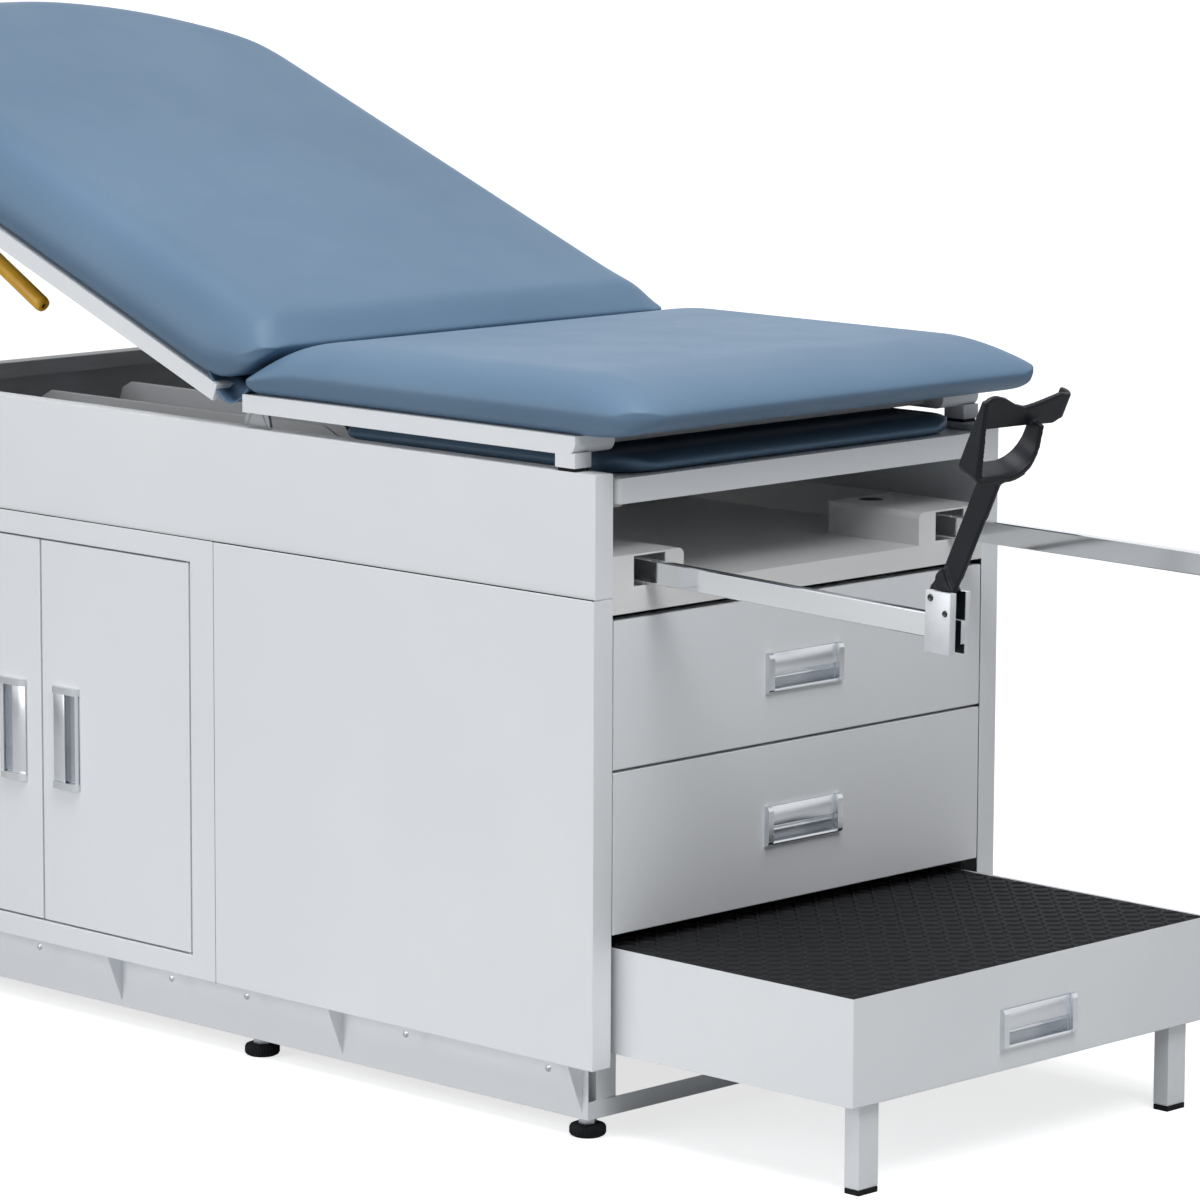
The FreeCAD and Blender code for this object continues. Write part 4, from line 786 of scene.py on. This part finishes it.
def stirrup_form():
    bm = bmesh.new()
    plate(bm, [(x * MM, -BLADE / 2, z * MM) for x, z in ARM_OUTLINE], (0, 1, 0), BLADE)
    plate(bm, [(x * MM, -SHOULDER / 2, z * MM) for x, z in SHOULDER_OUTLINE], (0, 1, 0), SHOULDER)
    join_into(bm, foot_loop())
    plate(bm, [(BAND_BACK, y * MM, z * MM) for y, z in SOLE_OUTLINE], (1, 0, 0), BLADE)
    low_end, high_end = SOLE_OUTLINE[2], SOLE_OUTLINE[3]
    edge_x = (BAND_BACK, BAND_BACK + BLADE)
    rim = [(edge_x[0], low_end), (edge_x[1], low_end), (edge_x[1], high_end), (edge_x[0], high_end)]
    end = bm.faces.new([bm.verts.new((x, y * MM, z * MM)) for x, (y, z) in rim])
    bmesh.ops.spin(bm, geom=[end], cent=(BAND_BACK + BLADE - CURL * MM, low_end[0] * MM, 0), axis=(0, 0, 1),
                   angle=CURL_ANGLE, steps=ROUND_STEPS)
    bmesh.ops.recalc_face_normals(bm, faces=bm.faces)
    return bm


def foot_stirrups():
    blank = remeshed(stirrup_form(), STIRRUP_VOXEL)
    for name, mirror in (("near", 1), ("far", -1)):
        pivot = Vector(JOINTS[name + "_stirrup_fold"]["pos_m"])
        stand = Matrix.Rotation(-SPLAY, 4, "Z") @ Matrix.Rotation(LEAN, 4, "Y")
        bm = bmesh.new()
        bm.from_mesh(blank.data)
        for _ in range(STIRRUP_SMOOTHING):
            bmesh.ops.smooth_vert(bm, verts=bm.verts, factor=0.5, use_axis_x=True, use_axis_y=True,
                                  use_axis_z=True)
        bmesh.ops.transform(bm, matrix=Matrix.Translation(pivot) @ Matrix.Diagonal((1, mirror, 1, 1)) @ stand,
                            verts=bm.verts)
        make_piece(name + "_stirrup_moulding", bm, name + "_stirrup", NYLON,
                   (name + "_foot_stirrup",), sharp=80)
    bpy.data.objects.remove(blank)


foot_stirrups()

# %% [markdown]
# The step wears a ribbed rubber tread: short raised lozenges, each turned a quarter against its neighbours.
# One lozenge is an eight-sided stud with a sloping wall, and a lattice of them covers the mat.

# %% Step tread
TREAD_PITCH = 15.7 * MM
LOZENGE_LONG = 9.5 * MM
LOZENGE_WIDE = 2.6 * MM
LOZENGE_HIGH = 1.7 * MM
LOZENGE_TOP = 0.62
MAT_EDGE = 1 * MM


def step_tread():
    low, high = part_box("step_tread_mat")
    bm = bmesh.new()
    mat = block(bm, low, high)
    upper = [edge for edge in edges_of(mat) if all(vert.co.z > high.z - SAME_SPOT for vert in edge.verts)]
    bevel(bm, upper, MAT_EDGE)
    columns = int((high.x - low.x - TREAD_PITCH) / TREAD_PITCH)
    rows = int((high.y - low.y - TREAD_PITCH) / TREAD_PITCH)
    span = Vector((columns, rows, 0)) * TREAD_PITCH
    first = Vector((low.x + high.x - span.x, low.y + high.y - span.y, 2 * high.z)) / 2
    shape = Matrix.Diagonal((LOZENGE_LONG, LOZENGE_WIDE, LOZENGE_HIGH, 1)) @ Matrix.Translation((0, 0, 0.5))
    for column in range(columns + 1):
        for row in range(rows + 1):
            turn = Matrix.Rotation(math.pi / 4 if (column + row) % 2 else -math.pi / 4, 4, "Z")
            spot = Matrix.Translation(first + Vector((column * TREAD_PITCH, row * TREAD_PITCH, 0)))
            bmesh.ops.create_cone(bm, cap_ends=True, segments=8, radius1=1.0, radius2=LOZENGE_TOP, depth=1.0,
                                  matrix=spot @ turn @ shape)
    make_piece("ribbed_tread", bm, "step", RUBBER, ("step_tread_mat",), sharp=25)


step_tread()

# %% [markdown]
# The release lever ends in a dipped grip; a black disc drawn as the tip of its rod darkens the grip's small
# hole as painted shade. The levelling feet are knurled discs. Both are turned shapes, so a few profile points
# are spun round their axis.

# %% Lever grip and levelling feet
LEVER_SLOPE = BACK_TILT + math.radians(7.5)
GRIP_PROFILE = ((129, 5.2), (129, 8.3), (131, 9.5), (268, 9.5), (272.6, 8.4), (274, 6.2), (274, 3.4),
                (266, 3.0), (266, 0))
ROD_TIP_SHADE_AT = 270 * MM
ROD_TIP_SHADE_RADIUS = 3.2 * MM
ROD_TIP_SHADE_DEEP = 3 * MM
FOOT_PROFILE = ((0, 0), (15.5, 0), (18.6, 1.6), (20, 4), (20, 10), (18.6, 12.6), (15, 14), (0, 14))
FOOT_RADIUS = 20 * MM
MIDDLE_FOOT_X = -130 * MM
KNURLS = 40
KNURL_FROM = 17 * MM
KNURL_CUT = 0.955


def spun(points, axis, steps):
    """Turned solid from profile points, closed round its axis."""
    bm = bmesh.new()
    verts = [bm.verts.new(point) for point in points]
    edges = [bm.edges.new(pair) for pair in zip(verts, verts[1:])]
    bmesh.ops.spin(bm, geom=verts + edges, cent=(0, 0, 0), axis=axis, angle=2 * math.pi, steps=steps,
                   use_merge=True)
    bmesh.ops.remove_doubles(bm, verts=bm.verts, dist=SAME_SPOT)
    return bm


grip = spun([(along * MM, 0, radius * MM) for along, radius in GRIP_PROFILE], (1, 0, 0), 32)
lever_place = Matrix.Translation(JOINTS["release_squeeze"]["pos_m"]) @ Matrix.Rotation(LEVER_SLOPE, 4, "Y")
bmesh.ops.transform(grip, matrix=lever_place, verts=grip.verts)
make_piece("dipped_lever_grip", grip, "release_lever", GRIP_PVC, ("release_lever_grip",),
           sharp=50)
# Black disc in the grip's hole, drawn as the rod's tip: painted shade
rod_tip_shade = bmesh.new()
end_place = lever_place @ Matrix.Translation((ROD_TIP_SHADE_AT, 0, 0)) @ Matrix.Rotation(math.pi / 2, 4, "Y")
bmesh.ops.create_cone(rod_tip_shade, cap_ends=True, segments=20, radius1=ROD_TIP_SHADE_RADIUS, radius2=ROD_TIP_SHADE_RADIUS,
                      depth=ROD_TIP_SHADE_DEEP, matrix=end_place)
make_piece("lever_rod_tip_shade", rod_tip_shade, "release_lever", ENAMEL)


def levelling_feet():
    low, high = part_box("levelling_foot_discs")
    feet = bmesh.new()
    for x in (low.x + FOOT_RADIUS, MIDDLE_FOOT_X, high.x - FOOT_RADIUS):
        for y in (low.y + FOOT_RADIUS, high.y - FOOT_RADIUS):
            foot = spun([(r * MM, 0, z * MM) for r, z in FOOT_PROFILE], (0, 0, 1), 2 * KNURLS)
            for vert in foot.verts:
                turn = round(math.atan2(vert.co.y, vert.co.x) / (math.pi / KNURLS))
                if turn % 2 and vert.co.xy.length > KNURL_FROM:
                    vert.co.xy *= KNURL_CUT
            bmesh.ops.translate(foot, vec=(x, y, low.z), verts=foot.verts)
            join_into(feet, foot)
    make_piece("knurled_feet", feet, "cabinet", RUBBER, ("levelling_foot_discs",), sharp=30)


levelling_feet()

# %% [markdown]
# Small hardware tells the scale. Each stirrup bracket is a forked zinc casting: two cheeks, a core that holds
# the bar, black nylon strips that darken its slot as painted shade, and dark socket screws. Hexagon nuts hold the
# mechanism's bolt.

# %% Brackets, screws and nuts
SCREW_SIDES = 24
SCREW_HIGH = 1.2 * MM


def socket_screw(bm, place, radius, height):
    """Slightly tapered head with a sunk socket, standing up along +Z of its place."""
    middle = place @ Matrix.Translation((0, 0, height / 2))
    head = bmesh.ops.create_cone(bm, cap_ends=True, segments=SCREW_SIDES, radius1=radius,
                                 radius2=radius * 0.86, depth=height, matrix=middle)["verts"]
    top = place @ Vector((0, 0, height))
    around = {face for vert in head for face in vert.link_faces}
    cap = [face for face in around if (face.calc_center_median() - top).length < 0.1 * MM]
    bmesh.ops.inset_region(bm, faces=cap, thickness=radius * 0.5)
    bmesh.ops.translate(bm, vec=place.to_3x3() @ Vector((0, 0, -height * 0.7)), verts=cap[0].verts)


# Millimetres along, across and above the bar, whose pivot is the origin
BRACKET_X = (531, 566)
BRACKET_Z = (-26, 37)
CHEEKS = (-13, -4, 10, 17)
CORE_Y = 4.6
CORE_Z = (-16, 8)
SPINE_X = BRACKET_X[0] + 17
SPINE_TOP = 12
STRIP_X = (548.5, 565)
STRIP = 0.6
BRACKET_BLOCKS = (((BRACKET_X[0], CHEEKS[0], BRACKET_Z[0]), (BRACKET_X[1], CHEEKS[1], BRACKET_Z[1])),
                  ((BRACKET_X[0], CHEEKS[2], BRACKET_Z[0]), (BRACKET_X[1], CHEEKS[3], BRACKET_Z[1])),
                  ((BRACKET_X[0], CORE_Y, CORE_Z[0]), (BRACKET_X[1] - 0.3, CHEEKS[2] + 1, CORE_Z[1])),
                  ((BRACKET_X[0], CHEEKS[1] - 1, BRACKET_Z[0]), (SPINE_X, CHEEKS[2] + 1, SPINE_TOP)))
# Black strips in the slot, painted shade for its dark inside
SLOT_SHADE_STRIPS = (((STRIP_X[0], CHEEKS[2] - STRIP, BRACKET_Z[0]), (STRIP_X[1], CHEEKS[2], BRACKET_Z[1])),
               ((STRIP_X[0], CORE_Y - STRIP, CORE_Z[0]), (STRIP_X[1], CORE_Y, CORE_Z[1])),
               ((SPINE_X, CHEEKS[1], BRACKET_Z[0]), (SPINE_X + STRIP, CHEEKS[2], SPINE_TOP)))
# Place along the bar, height above it and radius of each screw
BRACKET_SCREWS = ((538.5, 30, 3.8), (559, 16, 3.4))
DROOP = math.radians(1.1)
for name, mirror in (("near", 1), ("far", -1)):
    swivel = Vector(JOINTS[name + "_bar_swivel"]["pos_m"])
    bar_place = (Matrix.Translation(swivel) @ Matrix.Diagonal((1, mirror, 1, 1))
                 @ Matrix.Rotation(-SPLAY, 4, "Z") @ Matrix.Rotation(DROOP, 4, "Y"))
    casting = bmesh.new()
    for low, high in BRACKET_BLOCKS:
        bevel(casting, edges_of(block(casting, Vector(low) * MM, Vector(high) * MM)), 0.9 * MM)
    bmesh.ops.transform(casting, matrix=bar_place, verts=casting.verts)
    make_piece(name + "_bracket_casting", casting, name + "_bar", CASTING,
               (name + "_stirrup_bracket",))
    # Black nylon strips in the slot: painted shade
    slot_shade = bmesh.new()
    for low, high in SLOT_SHADE_STRIPS:
        block(slot_shade, Vector(low) * MM, Vector(high) * MM)
    bmesh.ops.transform(slot_shade, matrix=bar_place, verts=slot_shade.verts)
    make_piece(name + "_bracket_slot_shade", slot_shade, name + "_bar", NYLON)
    screws = bmesh.new()
    for x, z, radius in BRACKET_SCREWS:
        for face_y, turn in ((CHEEKS[0], math.pi / 2), (CHEEKS[3], -math.pi / 2)):
            at = Matrix.Translation(Vector((x, face_y, z)) * MM) @ Matrix.Rotation(turn, 4, "X")
            socket_screw(screws, bar_place @ at, radius * MM, SCREW_HIGH)
    make_piece(name + "_bracket_screws", screws, name + "_bar", ENAMEL)

NUT_AT = (-661 * MM, 72 * MM, 672 * MM)
NUT_RADIUS = 8 * MM
NUT_DEEP = 5 * MM
nuts = bmesh.new()
for side in (-1, 1):
    turn = Matrix.Rotation(-side * math.pi / 2, 4, "X")
    at = Matrix.Translation((NUT_AT[0], side * NUT_AT[1], NUT_AT[2])) @ turn
    bmesh.ops.create_cone(nuts, cap_ends=True, segments=6, radius1=NUT_RADIUS, radius2=NUT_RADIUS,
                          depth=NUT_DEEP, matrix=at @ Matrix.Translation((0, 0, NUT_DEEP / 2)))
bevel(nuts, list(nuts.edges), 0.5 * MM)
make_piece("mechanism_nuts", nuts, "cabinet", ZINC)

# %% [markdown]
# Folded panels never close to nothing: the shade in each joint's narrow gap is painted as a thin dark rubber
# strip.
# Along the plinth the panels are held by dome-headed blind rivets.

# %% Painted joint shade and rivets
SEAM_SHADE_HALF = 0.75 * MM
SEAM_SHADE_SUNK = 0.45 * MM
SEAM_SHADE_DEEP = 2 * MM
RIVET = 4 * MM
RIVET_X = (-700, -475, -240, -111, 150, 372)
RIVET_Z = 77


def seam_shade_strips():
    # Dark rubber strips along the seams: painted shade of the joint gaps
    panel_low, panel_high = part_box("near_side_panel")
    frame_low, frame_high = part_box("near_door_frame")
    seam_x = frame_high.x
    seam_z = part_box("upper_apron")[0].z
    outer = panel_low.y + SEAM_SHADE_SUNK
    inner = outer + SEAM_SHADE_DEEP
    bm = bmesh.new()
    block(bm, (frame_low.x, outer, seam_z - SEAM_SHADE_HALF), (panel_high.x - MM, inner, seam_z + SEAM_SHADE_HALF))
    block(bm, (seam_x - SEAM_SHADE_HALF, outer, panel_low.z), (seam_x + SEAM_SHADE_HALF, inner, seam_z))
    make_piece("joint_painted_shade", bm, "cabinet", RUBBER)


def rivets():
    wall_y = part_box("plinth_frame")[0].y
    bm = bmesh.new()
    for x in RIVET_X:
        dome = bmesh.ops.create_uvsphere(bm, u_segments=12, v_segments=6, radius=RIVET)["verts"]
        bmesh.ops.scale(bm, vec=(1, 0.5, 1), verts=dome)
        bmesh.ops.translate(bm, vec=(x * MM, wall_y, RIVET_Z * MM), verts=dome)
    make_piece("plinth_rivets", bm, "cabinet", ZINC)


seam_shade_strips()
rivets()

# %% [markdown]
# The stage is a wide pale floor and a white surround. The surround lights the object softly, and camera,
# glossy and transmission rays see it as plain white. Away from the object the floor glows up to the same
# white for the camera only, so that no horizon shows and the shadow stays. Three large lamps from the door
# side, above and the foot end keep the folds soft.

# %% Stage and light
WORLD_LIGHT = 0.09
FLOOR_SIDE = 400.0
FADE_FROM = 1.5
FADE_TO = 6.0
NEAR_GLOW = 0.72
# Name, place and aim in metres, side in metres, watts
LAMPS = (("door_side_lamp", (-1.8, -4.6, 2.0), (0, 0, 0.5), 3.0, 91),
         ("top_lamp", (0.8, -0.8, 4.6), (0.2, 0, 0.6), 3.0, 156),
         ("foot_end_lamp", (3.3, -1.3, 4.0), (0.4, 0, 0.5), 2.0, 94))


def white_surround():
    world = bpy.data.worlds.new("white_surround")
    scene.world = world
    world.use_nodes = True
    tree = world.node_tree
    tree.nodes.clear()
    path = add(tree, "ShaderNodeLightPath")
    seen = add(tree, "ShaderNodeMath", settings={"operation": "MAXIMUM"},
               links={0: path.outputs["Is Camera Ray"], 1: path.outputs["Is Transmission Ray"]})
    seen = add(tree, "ShaderNodeMath", settings={"operation": "MAXIMUM"},
               links={0: seen.outputs["Value"], 1: path.outputs["Is Glossy Ray"]})
    strength = add(tree, "ShaderNodeMapRange", values={"To Min": WORLD_LIGHT, "To Max": 1.0},
                   links={"Value": seen.outputs["Value"]})
    light = add(tree, "ShaderNodeBackground", values={"Color": linear("#FCFDFF")},
                links={"Strength": strength.outputs["Result"]})
    add(tree, "ShaderNodeOutputWorld", links={"Surface": light.outputs["Background"]})


def pale_floor():
    bm = bmesh.new()
    bmesh.ops.create_grid(bm, x_segments=1, y_segments=1, size=FLOOR_SIDE / 2)
    mesh = bpy.data.meshes.new("pale_floor")
    bm.to_mesh(mesh)
    bm.free()
    floor = bpy.data.objects.new("pale_floor", mesh)
    scene.collection.objects.link(floor)
    material, tree, shader = new_finish("pale_floor", Roughness=0.9)
    shader.inputs["Base Color"].default_value = linear("#D2D3D4")
    place = add(tree, "ShaderNodeTexCoord").outputs["Object"]
    away = add(tree, "ShaderNodeVectorMath", settings={"operation": "LENGTH"}, links={0: place})
    fade = add(tree, "ShaderNodeMapRange", links={"Value": away.outputs["Value"]},
               values={"From Min": FADE_FROM, "From Max": FADE_TO, "To Min": NEAR_GLOW})
    path = add(tree, "ShaderNodeLightPath")
    seen = add(tree, "ShaderNodeMath", settings={"operation": "MULTIPLY"},
               links={0: path.outputs["Is Camera Ray"], 1: fade.outputs["Result"]})
    glow = add(tree, "ShaderNodeEmission", values={"Color": linear("#FFFFFF")},
               links={"Strength": seen.outputs["Value"]})
    both = add(tree, "ShaderNodeAddShader", links={0: shader.outputs["BSDF"], 1: glow.outputs["Emission"]})
    tree.links.new(both.outputs["Shader"], tree.nodes["Material Output"].inputs["Surface"])
    mesh.materials.append(material)


def soft_lamp(name, spot, aim, side, watts):
    lamp = bpy.data.lights.new(name, "AREA")
    lamp.shape = "SQUARE"
    lamp.size = side
    lamp.energy = watts
    stand = bpy.data.objects.new(name, lamp)
    spot = Vector(spot)
    stand.matrix_world = (Matrix.Translation(spot)
                          @ (Vector(aim) - spot).to_track_quat("-Z", "Y").to_matrix().to_4x4())
    scene.collection.objects.link(stand)


white_surround()
pale_floor()
for lamp_row in LAMPS:
    soft_lamp(*lamp_row)
scene.view_settings.view_transform = "Standard"
print("lamps", len(LAMPS))
